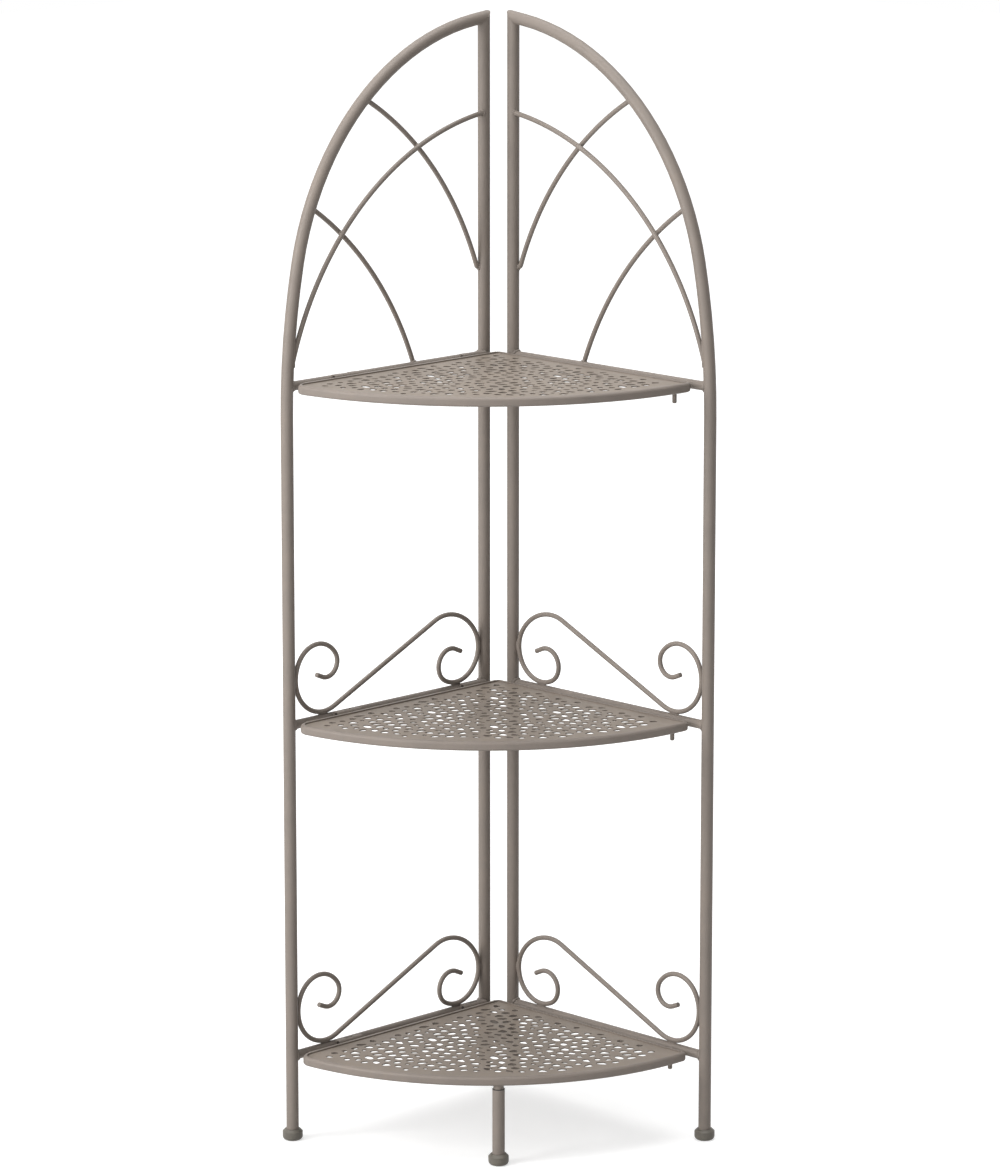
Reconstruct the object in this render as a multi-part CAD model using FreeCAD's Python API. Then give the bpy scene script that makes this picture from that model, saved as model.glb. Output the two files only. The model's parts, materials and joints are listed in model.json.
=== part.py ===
import FreeCAD, Part
import math
import os

# Corner shelf: two arched side panels that stand at a right angle, three
# quarter-round shelves hinged on the left panel, and one centre leg.
# Millimetres, +Z up. The corner is at +X +Y: the left panel runs along -X,
# the right panel along -Y. Panel pieces are drawn in a panel's own plane,
# u from the back post's axis to the front post's, n towards the shelves.

V = FreeCAD.Vector
X_AXIS = V(1, 0, 0)
Y_AXIS = V(0, 1, 0)
Z_AXIS = V(0, 0, 1)

# Driving sizes of the frame
overall_height = 1136.0
panel_width = 277.0            # back post axis to front post axis
post_setback = 21.2            # corner of the panel planes to a back post's axis
post_diameter = 12.7
post_wall = 1.0
rail_diameter = 9.5
rail_wall = 0.9
wire_diameter = 5.0
bottom_rail_top = 93.3
arch_rise = 350.0              # top rail's top to the arch's highest point
seam_gap = 0.2                 # room that a weld bead fills
overrun = 40.0                 # how far a cutting tool passes the metal

# Arch: two tangent arcs from the upright post, then a straight run
arch_low_radius = 736.0
arch_low_turn = 12.1           # degrees
arch_last_run = 15.4           # straight, up to the mitre
arch_end_slope = 6.7           # degrees below level at the mitre
mitre_round = 2.0              # the ground outer corner of the mitre

# Crossing wires of the arched top
high_wire_radius = 348.5
high_wire_arch_share = 0.605   # of the panel's width, where it meets the arch
high_wire_hook_reach = 8.6     # back post's axis to the wire's hooked end
high_wire_hook_rise = 89.3     # above the top rail
high_wire_hook_radius = 3.5
long_wire_radius = 325.0
long_wire_rise = 246.6         # above the top rail, at the back post
low_wire_radius = 352.3
low_wire_arch_share = 0.877
low_wire_rail_share = 0.354

# S-scroll: radius and turn in degrees of each arc, outwards from the slant
front_curl_radii = (37.4, 29.6, 15.0)
front_curl_stop = 120.0        # heading where the first radius ends
front_curl_turns = (115.0, 148.0)
shoulder_radius = 40.0         # from the slant to the back curl's highest point
back_curl_radii = (48.5, 33.0, 17.4)
back_curl_stop = 237.0
back_curl_turns = (150.0, 177.0)
scroll_tip = 8.5
steepest_slant = 80.0          # degrees, the scroll's slope is found between these
flattest_slant = 5.0

# Feet
foot_diameter = 20.8
foot_height = 11.6
foot_floor = 3.0
foot_collar = 1.7              # wall of the foot where the tube enters
foot_top_slope = 2.4
foot_bottom_round = 4.2

# Shelves, placed by their distance from the two panel planes
shelf_overreach = 2.5          # of the front arc's radius over the panel's width
arc_from_left_panel = 7.0      # middle of the front arc
arc_from_right_panel = 24.0
shelf_gap = 12.5               # each panel plane to the rim
shelf_rest_gap = 0.3           # rim above its catch loop
rim_thickness = 4.0
rim_top_round = 3.2
rim_bottom_round = 2.2
back_corner_round = 6.0
left_tip_round = 15.0
right_tip_round = 7.0
sheet_thickness = 1.2
sheet_sink = 1.3               # sheet below the rim's top
hole_border = 13.0             # plain metal between the rim and the holes
hole_pitch = 12.8
hole_radius_small = 2.3
hole_radius_large = 4.4
hole_wander = 1.3

# Shelf hinges
hinge_length = 33.0
hinge_from_back_post = 23.5    # middle of the rear hinge
hinge_from_front_post = 73.5   # middle of the front hinge
hinge_from_panel = 8.4
hinge_below_top = 1.2
knuckle_radius = 2.6
knuckle_gap = 0.3
hinge_pin_radius = 1.2
hinge_pin_play = 0.05
hinge_pin_head = 0.6
leaf_thickness = 1.2
leaf_seat = 0.4                # how far the fixed leaf is let into the rail's side
leaf_drop = 7.0                # of each leaf, below the hinge's axis

# Lock pins and their catch loops
lock_pin_diameter = 4.6
lock_pin_below_rim = 15.3
lock_pin_chamfer = 0.8
lock_pin_seat = 0.4            # how far the pin is let into the rim's outer face
lock_pin_below_top = 1.5
lock_from_front_post = 39.0
loop_wire_diameter = 4.5
loop_inner_radius = 4.75

# Panel hinges, below the top and the bottom shelf
panel_hinge_drop = 14.0        # rail top to the hinge's top
panel_hinge_height = 30.0
panel_knuckle_radius = 4.0
panel_pin_radius = 2.4
panel_pin_head = 1.0
panel_leaf_thickness = 2.5

# Centre leg
leg_inside_arc = 7.0           # front arc's outer edge to the leg's axis
leg_top = 79.8
stub_diameter = 10.6
stud_diameter = 6.0
stud_length = 13.0
plug_flange = 0.6
plug_length = 16.0

# Worked-out sizes and places
post_radius = post_diameter / 2
rail_radius = rail_diameter / 2
wire_radius = wire_diameter / 2
foot_radius = foot_diameter / 2
corner = (panel_width + post_setback) / 2     # x and y of the panel planes' corner
half_turn = 180.0
shelf_radius = panel_width + shelf_overreach
hinge_places = (hinge_from_back_post, panel_width - hinge_from_front_post)
lock_place = panel_width - lock_from_front_post
rim_height = rail_diameter - shelf_rest_gap
rail_spacing = (overall_height - arch_rise - bottom_rail_top) / 2
rail_tops = {
    "top": bottom_rail_top + 2 * rail_spacing,
    "middle": bottom_rail_top + rail_spacing,
    "bottom": bottom_rail_top,
}


def placed(shape, u=0.0, n=0.0, z=0.0):
    """Move a shape that was drawn in panel or corner distances."""
    moved = shape.copy()
    moved.translate(V(u, n, z))
    return moved


def rod(start, direction, radius, length):
    return Part.makeCylinder(radius, length, start, direction)


def pipe(start, direction, radius, wall, length):
    return rod(start, direction, radius, length).cut(rod(start, direction, radius - wall, length))


def box(low, high):
    size = high - low
    return Part.makeBox(size.x, size.y, size.z, low)


def fused(shapes):
    whole = shapes[0]
    if len(shapes) > 1:
        whole = whole.multiFuse(shapes[1:])
    return whole.removeSplitter()


def half_space(point, normal, size):
    """A block that fills the side of a plane that its normal points to."""
    face = Part.Plane(point, normal).toShape(-size, size, -size, size)
    return face.extrude(normal * size)


def to_left(shape):
    """Panel plane to its place on the left side."""
    turned = shape.copy()
    turned.rotate(V(0, 0, 0), Z_AXIS, half_turn)
    turned.translate(V(corner - post_setback, corner, 0))
    return turned


def to_right(shape):
    """The right panel is the left one, mirrored in the plane between them."""
    return to_left(shape).mirror(V(corner, corner, 0), V(1, -1, 0))


def from_corner(shape):
    """Corner distances (from the right plane, from the left plane) to the frame."""
    turned = shape.copy()
    turned.rotate(V(0, 0, 0), Z_AXIS, half_turn)
    turned.translate(V(corner, corner, 0))
    return turned


class Track:
    """A flat path of lines and tangent arcs in the u-z plane."""

    def __init__(self, u, z, heading):
        self.u = u
        self.z = z
        self.heading = heading
        self.edges = []

    def point(self):
        return V(self.u, 0, self.z)

    def line(self, length):
        start = self.point()
        self.u += length * math.cos(math.radians(self.heading))
        self.z += length * math.sin(math.radians(self.heading))
        self.edges.append(Part.LineSegment(start, self.point()).toShape())

    def arc(self, radius, turn):
        """Positive turns go anticlockwise."""
        side = math.copysign(1, turn)
        start = self.point()
        out = math.radians(self.heading - side * half_turn / 2)
        centre_u = self.u - radius * math.cos(out)
        centre_z = self.z - radius * math.sin(out)
        spots = []
        for part in (1, 2):
            angle = out + math.radians(turn) * part / 2
            spots.append(V(centre_u + radius * math.cos(angle), 0, centre_z + radius * math.sin(angle)))
        self.edges.append(Part.Arc(start, spots[0], spots[1]).toShape())
        self.u = spots[1].x
        self.z = spots[1].z
        self.heading += turn

    def swept(self, radius):
        """A round bar along the path."""
        way = Part.Wire(self.edges)
        first = self.edges[0]
        along = first.tangentAt(first.FirstParameter)
        ring = Part.Wire(Part.Circle(first.valueAt(first.FirstParameter), along, radius).toShape())
        return way.makePipe(Part.Face(ring))


def arc_between(start, end, radius):
    """Edge of one radius from start to end, bowed away from the corner below."""
    chord = end - start
    half = chord.Length / 2
    middle = (start + end) / 2
    across = V(chord.z, 0, -chord.x).normalize()
    if across.z < 0:
        across = across * -1
    sag = radius - math.sqrt(radius ** 2 - half ** 2)
    return Part.Arc(start, middle + across * sag, end).toShape()


def bar_along(edge, radius):
    along = edge.tangentAt(edge.FirstParameter)
    ring = Part.Wire(Part.Circle(edge.valueAt(edge.FirstParameter), along, radius).toShape())
    return Part.Wire([edge]).makePipe(Part.Face(ring))


def mitre_tip_height():
    """Height of the mitre's outer corner before it is rounded down to the overall height."""
    slope = math.radians(arch_end_slope)
    return overall_height + mitre_round * (math.tan(slope) + 1 / math.cos(slope) - 1)


def mitre_height():
    """Where the arch's axis meets the back post's axis, below the mitre's outer corner."""
    slope = math.radians(arch_end_slope)
    return mitre_tip_height() - post_radius * (1 + math.sin(slope)) / math.cos(slope)


def arch_high_radius():
    """Radius that brings the arch's high arc across the rest of the panel's width."""
    low = math.radians(arch_low_turn)
    total = math.radians(half_turn / 2 - arch_end_slope)
    spent = arch_low_radius * (1 - math.cos(low)) + arch_last_run * math.sin(total)
    return (panel_width - spent) / (math.cos(low) - math.cos(total))


def arch_start():
    """Height where the front post begins to bend."""
    low = math.radians(arch_low_turn)
    total = math.radians(half_turn / 2 - arch_end_slope)
    climb = arch_low_radius * math.sin(low) + arch_last_run * math.cos(total)
    climb += arch_high_radius() * (math.sin(total) - math.sin(low))
    return mitre_height() - climb


def arch_track(past_mitre):
    track = Track(panel_width, foot_floor, half_turn / 2)
    track.line(arch_start() - foot_floor)
    track.arc(arch_low_radius, arch_low_turn)
    track.arc(arch_high_radius(), half_turn / 2 - arch_end_slope - arch_low_turn)
    track.line(arch_last_run + past_mitre)
    return track


def arch_centre():
    """Middle of the arch's high arc."""
    low = math.radians(arch_low_turn)
    inwards = arch_low_radius - arch_high_radius()
    u = panel_width - arch_low_radius + inwards * math.cos(low)
    return V(u, 0, arch_start() + inwards * math.sin(low))


def arch_height(u):
    """Height of the arch's axis above a place along the panel, on its high arc."""
    centre = arch_centre()
    return centre.z + math.sqrt(arch_high_radius() ** 2 - (u - centre.x) ** 2)


def front_place(z):
    """Place of the front post's axis along the panel at a height, bent part included."""
    climb = z - arch_start()
    if climb < 0:
        return panel_width
    if climb < arch_low_radius * math.sin(math.radians(arch_low_turn)):
        return panel_width - arch_low_radius + math.sqrt(arch_low_radius ** 2 - climb ** 2)
    centre = arch_centre()
    return centre.x + math.sqrt(arch_high_radius() ** 2 - (z - centre.z) ** 2)


def mitre_side():
    """Normal of the mitre plane, pointing to the arch."""
    slope = math.radians(arch_end_slope)
    to_arch = V(math.cos(slope), 0, -math.sin(slope))
    to_post = Z_AXIS * -1
    split = (to_arch + to_post).normalize()
    return V(-split.z, 0, split.x)


def mitre_offcut():
    """What grinding takes off the mitre's outer corner, across both tubes."""
    slope = math.radians(arch_end_slope)
    tip = V(-post_radius, -post_diameter, mitre_tip_height())
    leg = mitre_round / math.tan(math.radians(half_turn / 2 - arch_end_slope) / 2)
    down = tip - Z_AXIS * leg
    along = tip + V(math.cos(slope), 0, -math.sin(slope)) * leg
    centre = down + X_AXIS * mitre_round
    outwards = (tip - centre).normalize()
    curve = Part.Arc(down, centre + outwards * mitre_round, along).toShape()
    far = tip + outwards * mitre_round
    sides = [Part.LineSegment(along, far).toShape(), Part.LineSegment(far, down).toShape()]
    return Part.Face(Part.Wire([curve] + sides)).extrude(Y_AXIS * 2 * post_diameter)


def front_post_solid():
    whole = arch_track(post_diameter).swept(post_radius)
    mitred = whole.cut(half_space(V(0, 0, mitre_height()), mitre_side() * -1, overrun))
    return mitred.cut(mitre_offcut())


def front_post():
    return front_post_solid().cut(arch_track(post_diameter).swept(post_radius - post_wall))


def back_post_solid():
    whole = rod(V(0, 0, foot_floor), Z_AXIS, post_radius, overall_height + post_diameter)
    mitred = whole.cut(half_space(V(0, 0, mitre_height()), mitre_side(), overrun))
    return mitred.cut(mitre_offcut())


def back_post():
    bore = rod(V(0, 0, 0), Z_AXIS, post_radius - post_wall, overall_height + overrun)
    return back_post_solid().cut(bore)


def rail_run(level):
    """Start of a rail's axis on the back post's axis, and its length."""
    start = V(0, 0, rail_tops[level] - rail_radius)
    return start, front_place(start.z)


def rail(level):
    """A round tube whose ends are coped to the posts."""
    start, length = rail_run(level)
    tube = pipe(start, X_AXIS, rail_radius, rail_wall, length)
    return tube.cut(back_post_solid()).cut(front_post_solid())


def rail_solid(level):
    start, length = rail_run(level)
    return rod(start, X_AXIS, rail_radius, length)


def trimmed(wire, with_rail):
    body = wire.cut(back_post_solid()).cut(front_post_solid())
    if with_rail:
        body = body.cut(rail_solid("top"))
    return body


def arch_spot(share):
    u = share * panel_width
    return V(u, 0, arch_height(u))


def high_wire():
    """From the arch down to a small hook at the back post, on the outer side."""
    hook_start = V(high_wire_hook_reach, 0, rail_tops["top"] + high_wire_hook_rise)
    edge = arc_between(hook_start, arch_spot(high_wire_arch_share), high_wire_radius)
    along = edge.tangentAt(edge.FirstParameter)
    climb = math.degrees(math.atan2(along.z, along.x))
    hook = Track(hook_start.x, hook_start.z, half_turn + climb)
    hook.arc(high_wire_hook_radius, -climb)
    hook.line(hook.u)
    wire = fused([bar_along(edge, wire_radius), hook.swept(wire_radius)])
    return trimmed(placed(wire, n=-wire_radius), False)


def long_wire():
    """From the back post over to the front post, on the inner side."""
    top = rail_tops["top"]
    post_end = V(0, 0, top + long_wire_rise)
    edge = arc_between(post_end, V(front_place(top), 0, top), long_wire_radius)
    return trimmed(placed(bar_along(edge, wire_radius), n=wire_radius), True)


def low_wire():
    """From the top rail to the arch, on the outer side."""
    rail_end = V(low_wire_rail_share * panel_width, 0, rail_tops["top"] - rail_radius)
    edge = arc_between(rail_end, arch_spot(low_wire_arch_share), low_wire_radius)
    return trimmed(placed(bar_along(edge, wire_radius), n=-wire_radius), True)


def slant_run(slope):
    """Length of the slant that lets both curls stand on the rail."""
    first, second = back_curl_radii[:2]
    bend = math.radians(back_curl_stop - half_turn)
    curl_height = first * (1 - math.cos(bend)) + second * (1 + math.cos(bend))
    ends = (shoulder_radius + front_curl_radii[0]) * (1 - math.cos(slope))
    return (curl_height - ends) / math.sin(slope)


def scroll_width(slope):
    """Width of the scroll's axis for a slope of its slant."""
    first, second = back_curl_radii[:2]
    bend = math.radians(back_curl_stop - half_turn)
    front = front_curl_radii[0] * (1 + math.sin(slope))
    back = shoulder_radius * math.sin(slope) + first * math.sin(bend) + second * (1 - math.sin(bend))
    return front + slant_run(slope) * math.cos(slope) + back


def scroll_slope():
    """Slope of the slant with which the scroll fits between the posts."""
    room = panel_width - 2 * (post_radius + wire_radius + seam_gap)
    steep = math.radians(steepest_slant)
    flat = math.radians(flattest_slant)
    while steep - flat > 1e-9:
        trial = (steep + flat) / 2
        if scroll_width(trial) > room:
            flat = trial
        else:
            steep = trial
    return steep


def scroll(level):
    """S-scroll between the posts, standing on a rail."""
    slope = scroll_slope()
    front_radius = front_curl_radii[0]
    lean = math.degrees(slope)
    u = panel_width - post_radius - wire_radius - seam_gap - front_radius * (1 + math.sin(slope))
    floor = rail_tops[level] + wire_radius + seam_gap
    z = floor + front_radius * (1 - math.cos(slope))
    front = Track(u, z, -lean)
    front.arc(front_radius, front_curl_stop + lean)
    front.arc(front_curl_radii[1], front_curl_turns[0])
    front.arc(front_curl_radii[2], front_curl_turns[1])
    front.line(scroll_tip)
    back = Track(u, z, half_turn - lean)
    back.line(slant_run(slope))
    back.arc(shoulder_radius, lean)
    back.arc(back_curl_radii[0], back_curl_stop - half_turn)
    back.arc(back_curl_radii[1], back_curl_turns[0])
    back.arc(back_curl_radii[2], back_curl_turns[1])
    back.line(scroll_tip)
    return fused([front.swept(wire_radius), back.swept(wire_radius)])


def foot():
    """A push-on cap with a sloped shoulder, open at the top for the tube."""
    collar = post_radius + foot_collar
    points = [V(0, 0, 0), V(foot_radius - foot_bottom_round, 0, 0)]
    points += [V(foot_radius, 0, foot_bottom_round), V(foot_radius, 0, foot_height - foot_top_slope)]
    points += [V(collar, 0, foot_height), V(0, 0, foot_height)]
    edges = [Part.LineSegment(a, b).toShape() for a, b in zip(points, points[1:] + points[:1])]
    bulge = foot_bottom_round * (1 - math.sqrt(0.5))
    round_middle = V(foot_radius - bulge, 0, bulge)
    edges[1] = Part.Arc(points[1], round_middle, points[2]).toShape()
    cap = Part.Face(Part.Wire(edges)).revolve(V(0, 0, 0), Z_AXIS, 2 * half_turn)
    return cap.cut(rod(V(0, 0, foot_floor), Z_AXIS, post_radius, foot_height))


def shelf_prism(inset, low, high, rounds):
    """The shelf's outline, drawn in by inset, between two heights."""
    radius = shelf_radius - inset
    edge = shelf_gap + inset
    reach_a = arc_from_right_panel + math.sqrt(radius ** 2 - (edge - arc_from_left_panel) ** 2)
    reach_b = arc_from_left_panel + math.sqrt(radius ** 2 - (edge - arc_from_right_panel) ** 2)
    middle = radius * math.sqrt(0.5)
    back = V(edge, edge, low)
    left_tip = V(reach_a, edge, low)
    right_tip = V(edge, reach_b, low)
    bow = V(arc_from_right_panel + middle, arc_from_left_panel + middle, low)
    edges = [Part.LineSegment(back, left_tip).toShape()]
    edges.append(Part.Arc(left_tip, bow, right_tip).toShape())
    edges.append(Part.LineSegment(right_tip, back).toShape())
    block = Part.Face(Part.Wire(edges)).extrude(V(0, 0, high - low))
    for spot, size in zip((back, left_tip, right_tip), rounds):
        block = block.makeFillet(size - inset, [upright_edge(block, spot)])
    return block


def upright_edge(block, spot):
    """The block's upright edge at a corner of its outline."""
    def away(edge):
        middle = edge.valueAt((edge.FirstParameter + edge.LastParameter) / 2)
        return V(middle.x - spot.x, middle.y - spot.y, 0).Length
    upright = [e for e in block.Edges if abs(e.BoundBox.ZLength - e.Length) < e.Length / 1000]
    return min(upright, key=away)


def shelf_rounds():
    return (back_corner_round, left_tip_round, right_tip_round)


def shelf_rim(level):
    """Bar bent round the outline, its outer edges rounded."""
    top = rail_tops[level]
    outer = shelf_prism(0.0, top - rim_height, top, shelf_rounds())
    middle = top - rim_height / 2
    crown = [e for e in outer.Edges if e.BoundBox.ZMin > middle]
    outer = outer.makeFillet(rim_top_round, crown)
    sole = [e for e in outer.Edges if e.BoundBox.ZMax < middle]
    outer = outer.makeFillet(rim_bottom_round, sole)
    return outer.cut(shelf_prism(rim_thickness, top - rim_height, top, shelf_rounds()))


def scatter(column, row, salt):
    """A steady number from 0 to 1 for one hole of the pattern."""
    value = math.sin(column * 12.9898 + row * 78.233 + salt * 37.719) * 43758.5453
    return value - math.floor(value)


def hole_spots():
    """Centres and radii of the holes, row by row, inside the plain border."""
    spots = []
    inset = rim_thickness + hole_border
    first = shelf_gap + inset
    rows = int(shelf_radius / hole_pitch)
    for row in range(rows):
        for column in range(rows):
            shift = hole_wander * (2 * scatter(column, row, 1) - 1)
            slide = hole_wander * (2 * scatter(column, row, 2) - 1)
            size = hole_radius_small + (hole_radius_large - hole_radius_small) * scatter(column, row, 3)
            a = first + size + hole_pitch * column + shift
            b = first + size + hole_pitch * row + slide
            out = math.hypot(a - arc_from_right_panel, b - arc_from_left_panel) + size
            inside = a - size > first and b - size > first
            if inside and out < shelf_radius - inset:
                spots.append((a, b, size))
    return spots


def shelf_sheet(level):
    """Perforated sheet, let into the rim a little below its top."""
    low = rail_tops[level] - sheet_sink - sheet_thickness
    plain = shelf_prism(rim_thickness, low, low + sheet_thickness, shelf_rounds())
    floor = min(plain.Faces, key=lambda face: face.CenterOfMass.z)
    holes = []
    for a, b, size in hole_spots():
        holes.append(Part.Wire(Part.Circle(V(a, b, low), Z_AXIS, size).toShape()))
    face = Part.Face([floor.OuterWire] + holes)
    face.validate()
    return face.extrude(V(0, 0, sheet_thickness))


def hinge_axis(level):
    return rail_tops[level] - hinge_below_top


def hinge_starts():
    return [middle - hinge_length / 2 for middle in hinge_places]


def fixed_leaves(level):
    """Leaves on the rail's inner side, each rolled into the two outer knuckles."""
    axis = hinge_axis(level)
    third = hinge_length / 3
    low_n = rail_radius - leaf_seat
    high_n = low_n + leaf_thickness
    shelter = axis - knuckle_radius - knuckle_gap
    leaves = []
    for start in hinge_starts():
        parts = [box(V(start, low_n, axis - leaf_drop), V(start + hinge_length, high_n, shelter))]
        for end in (start, start + 2 * third):
            roof = V(end + third, hinge_from_panel, axis + knuckle_radius)
            parts.append(box(V(end, low_n, axis - leaf_drop), V(end + third, high_n, roof.z)))
            parts.append(box(V(end, low_n, roof.z - leaf_thickness), roof))
            parts.append(rod(V(end, hinge_from_panel, axis), X_AXIS, knuckle_radius, third))
        bore = rod(V(start, hinge_from_panel, axis), X_AXIS, hinge_pin_radius, hinge_length)
        leaves.append(fused(parts).cut(bore).cut(rail_solid(level)))
    return Part.makeCompound(leaves)


def shelf_leaves(level):
    """Leaves on the rim's outer face, each rolled into the middle knuckle."""
    axis = hinge_axis(level)
    third = hinge_length / 3
    low_n = shelf_gap - leaf_thickness
    floor = axis - knuckle_radius
    leaves = []
    for start in hinge_starts():
        middle = start + third + knuckle_gap
        width = third - 2 * knuckle_gap
        plate_high = V(start + hinge_length, shelf_gap, rail_tops[level] - rim_top_round)
        plate = box(V(start, low_n, axis - leaf_drop), plate_high)
        tongue_high = V(middle + width, shelf_gap, floor + leaf_thickness)
        tongue = box(V(middle, hinge_from_panel, floor), tongue_high)
        roll = rod(V(middle, hinge_from_panel, axis), X_AXIS, knuckle_radius, width)
        leaf = fused([plate, tongue, roll])
        bore = rod(V(middle, hinge_from_panel, axis), X_AXIS, hinge_pin_radius + hinge_pin_play, width)
        leaves.append(leaf.cut(bore))
    return Part.makeCompound(leaves)


def hinge_pins(level):
    axis = hinge_axis(level)
    pins = []
    for start in hinge_starts():
        shank = rod(V(start, hinge_from_panel, axis), X_AXIS, hinge_pin_radius, hinge_length)
        head_radius = (hinge_pin_radius + knuckle_radius) / 2
        near = rod(V(start - hinge_pin_head, hinge_from_panel, axis), X_AXIS, head_radius, hinge_pin_head)
        far = rod(V(start + hinge_length, hinge_from_panel, axis), X_AXIS, head_radius, hinge_pin_head)
        pins.append(fused([shank, near, far]))
    return Part.makeCompound(pins)


def lock_from_panel():
    """Right panel plane to the lock pin's axis."""
    return shelf_gap + lock_pin_seat - lock_pin_diameter / 2


def lock_pin(level):
    """Round pin, with a narrow flat, on the rim's outer face at the right."""
    radius = lock_pin_diameter / 2
    low = rail_tops[level] - rim_height - lock_pin_below_rim
    high = rail_tops[level] - lock_pin_below_top
    spot = V(lock_from_panel(), post_setback + lock_place, low)
    pin = rod(spot, Z_AXIS, radius, high - low)
    ends = [e for e in pin.Edges if e.BoundBox.ZLength < radius]
    pin = pin.makeChamfer(lock_pin_chamfer, ends)
    flat = V(shelf_gap, spot.y - radius, rail_tops[level] - rim_height)
    return pin.cut(box(flat, V(shelf_gap + radius, spot.y + radius, high)))


def catch_loop(level):
    """Bent wire under a right rail, round the lock pin."""
    radius = loop_wire_diameter / 2
    bend = loop_inner_radius + radius
    reach = lock_from_panel()
    height = rail_tops[level] - rail_diameter - radius
    tip = V(lock_place, reach + bend, height)
    near = V(lock_place - bend, reach, height)
    far = V(lock_place + bend, reach, height)
    root = V(0, -reach, 0)
    edges = [Part.LineSegment(near + root, near).toShape(), Part.Arc(near, tip, far).toShape()]
    edges.append(Part.LineSegment(far, far + root).toShape())
    ring = Part.Wire(Part.Circle(near + root, Y_AXIS, radius).toShape())
    return Part.Wire(edges).makePipe(Part.Face(ring))


def panel_leaf(top, bore_radius, knuckles):
    """Leaf from the left back post to the panel hinge, in corner distances."""
    half = panel_leaf_thickness / 2
    parts = []
    for low, high in knuckles:
        parts.append(rod(V(post_setback, post_setback, low), Z_AXIS, panel_knuckle_radius, high - low))
        parts.append(box(V(post_setback - half, 0, low), V(post_setback + half, post_setback, high)))
    back = post_setback - panel_knuckle_radius - knuckle_gap
    spine_low = V(post_setback - half, 0, top - panel_hinge_height)
    parts.append(box(spine_low, V(post_setback + half, back, top)))
    leaf = fused(parts).cut(rod(V(post_setback, 0, 0), Z_AXIS, post_radius, overall_height))
    return leaf.cut(rod(V(post_setback, post_setback, 0), Z_AXIS, bore_radius, overall_height))


def left_panel_leaf(top):
    third = panel_hinge_height / 3
    knuckles = [(top - third, top), (top - 3 * third, top - 2 * third)]
    return panel_leaf(top, panel_pin_radius, knuckles)


def right_panel_leaf(top):
    third = panel_hinge_height / 3
    knuckles = [(top - 2 * third + knuckle_gap, top - third - knuckle_gap)]
    leaf = panel_leaf(top, panel_pin_radius + hinge_pin_play, knuckles)
    return leaf.mirror(V(0, 0, 0), V(1, -1, 0))


def panel_hinge_pin(top):
    low = top - panel_hinge_height
    shank = rod(V(post_setback, post_setback, low), Z_AXIS, panel_pin_radius, panel_hinge_height)
    head = rod(V(post_setback, post_setback, top), Z_AXIS, panel_knuckle_radius, panel_pin_head)
    return fused([shank, head])


def leg_spot(z):
    """A height on the leg's axis, equally far from both panels, inside the front arc."""
    middle = (arc_from_right_panel + arc_from_left_panel) / 2
    off = (arc_from_right_panel - arc_from_left_panel) / 2
    reach = shelf_radius - leg_inside_arc
    away = middle + math.sqrt(reach ** 2 / 2 - off ** 2)
    return V(away, away, z)


def leg_stub():
    """Welded stub inside the rim's front, with the stud that the leg screws on."""
    ceiling = rail_tops["bottom"] - sheet_sink - sheet_thickness
    stub = rod(leg_spot(leg_top), Z_AXIS, stub_diameter / 2, ceiling - leg_top)
    whole = fused([stub, rod(leg_spot(leg_top - stud_length), Z_AXIS, stud_diameter / 2, stud_length)])
    rim = shelf_prism(0.0, leg_top, rail_tops["bottom"], shelf_rounds())
    rim = rim.cut(shelf_prism(rim_thickness, leg_top, rail_tops["bottom"], shelf_rounds()))
    above = rail_tops["bottom"] - rim_height
    bar = rim.common(box(V(0, 0, above), leg_spot(ceiling) * 2))
    return whole.cut(bar)


def leg_plug():
    """Plug in the leg tube's top, with a thin flange on the tube's end."""
    radius = post_radius - post_wall
    body = rod(leg_spot(leg_top - plug_flange - plug_length), Z_AXIS, radius, plug_length)
    flange = rod(leg_spot(leg_top - plug_flange), Z_AXIS, post_radius, plug_flange)
    bore = rod(leg_spot(leg_top - stud_length), Z_AXIS, stud_diameter / 2, stud_length)
    return fused([body, flange]).cut(bore)


def leg_tube():
    length = leg_top - plug_flange - foot_floor
    return pipe(leg_spot(foot_floor), Z_AXIS, post_radius, post_wall, length)


def panel_nodes(side, place):
    nodes = {
        side + "_back_post": place(back_post()),
        side + "_front_post": place(front_post()),
        side + "_high_wire": place(high_wire()),
        side + "_long_wire": place(long_wire()),
        side + "_low_wire": place(low_wire()),
        side + "_back_foot": place(foot()),
        side + "_front_foot": place(placed(foot(), u=panel_width)),
    }
    for level in rail_tops:
        nodes[f"{side}_{level}_rail"] = place(rail(level))
    for level in ("middle", "bottom"):
        nodes[f"{side}_{level}_scroll"] = place(scroll(level))
    return nodes


def shelf_nodes(level):
    return {
        level + "_shelf_rim": from_corner(shelf_rim(level)),
        level + "_shelf_sheet": from_corner(shelf_sheet(level)),
        level + "_hinge_fixed_leaves": to_left(fixed_leaves(level)),
        level + "_hinge_shelf_leaves": to_left(shelf_leaves(level)),
        level + "_hinge_pins": to_left(hinge_pins(level)),
        level + "_lock_pin": from_corner(lock_pin(level)),
        level + "_catch_loop": to_right(catch_loop(level)),
    }


def panel_hinge_nodes(name, level):
    top = rail_tops[level] - panel_hinge_drop
    return {
        name + "_panel_hinge_left_leaf": from_corner(left_panel_leaf(top)),
        name + "_panel_hinge_right_leaf": from_corner(right_panel_leaf(top)),
        name + "_panel_hinge_pin": from_corner(panel_hinge_pin(top)),
    }


def leg_nodes():
    return {
        "leg_stub": from_corner(leg_stub()),
        "leg_plug": from_corner(leg_plug()),
        "leg_tube": from_corner(leg_tube()),
        "leg_foot": from_corner(placed(foot(), u=leg_spot(0).x, n=leg_spot(0).y)),
    }


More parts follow.
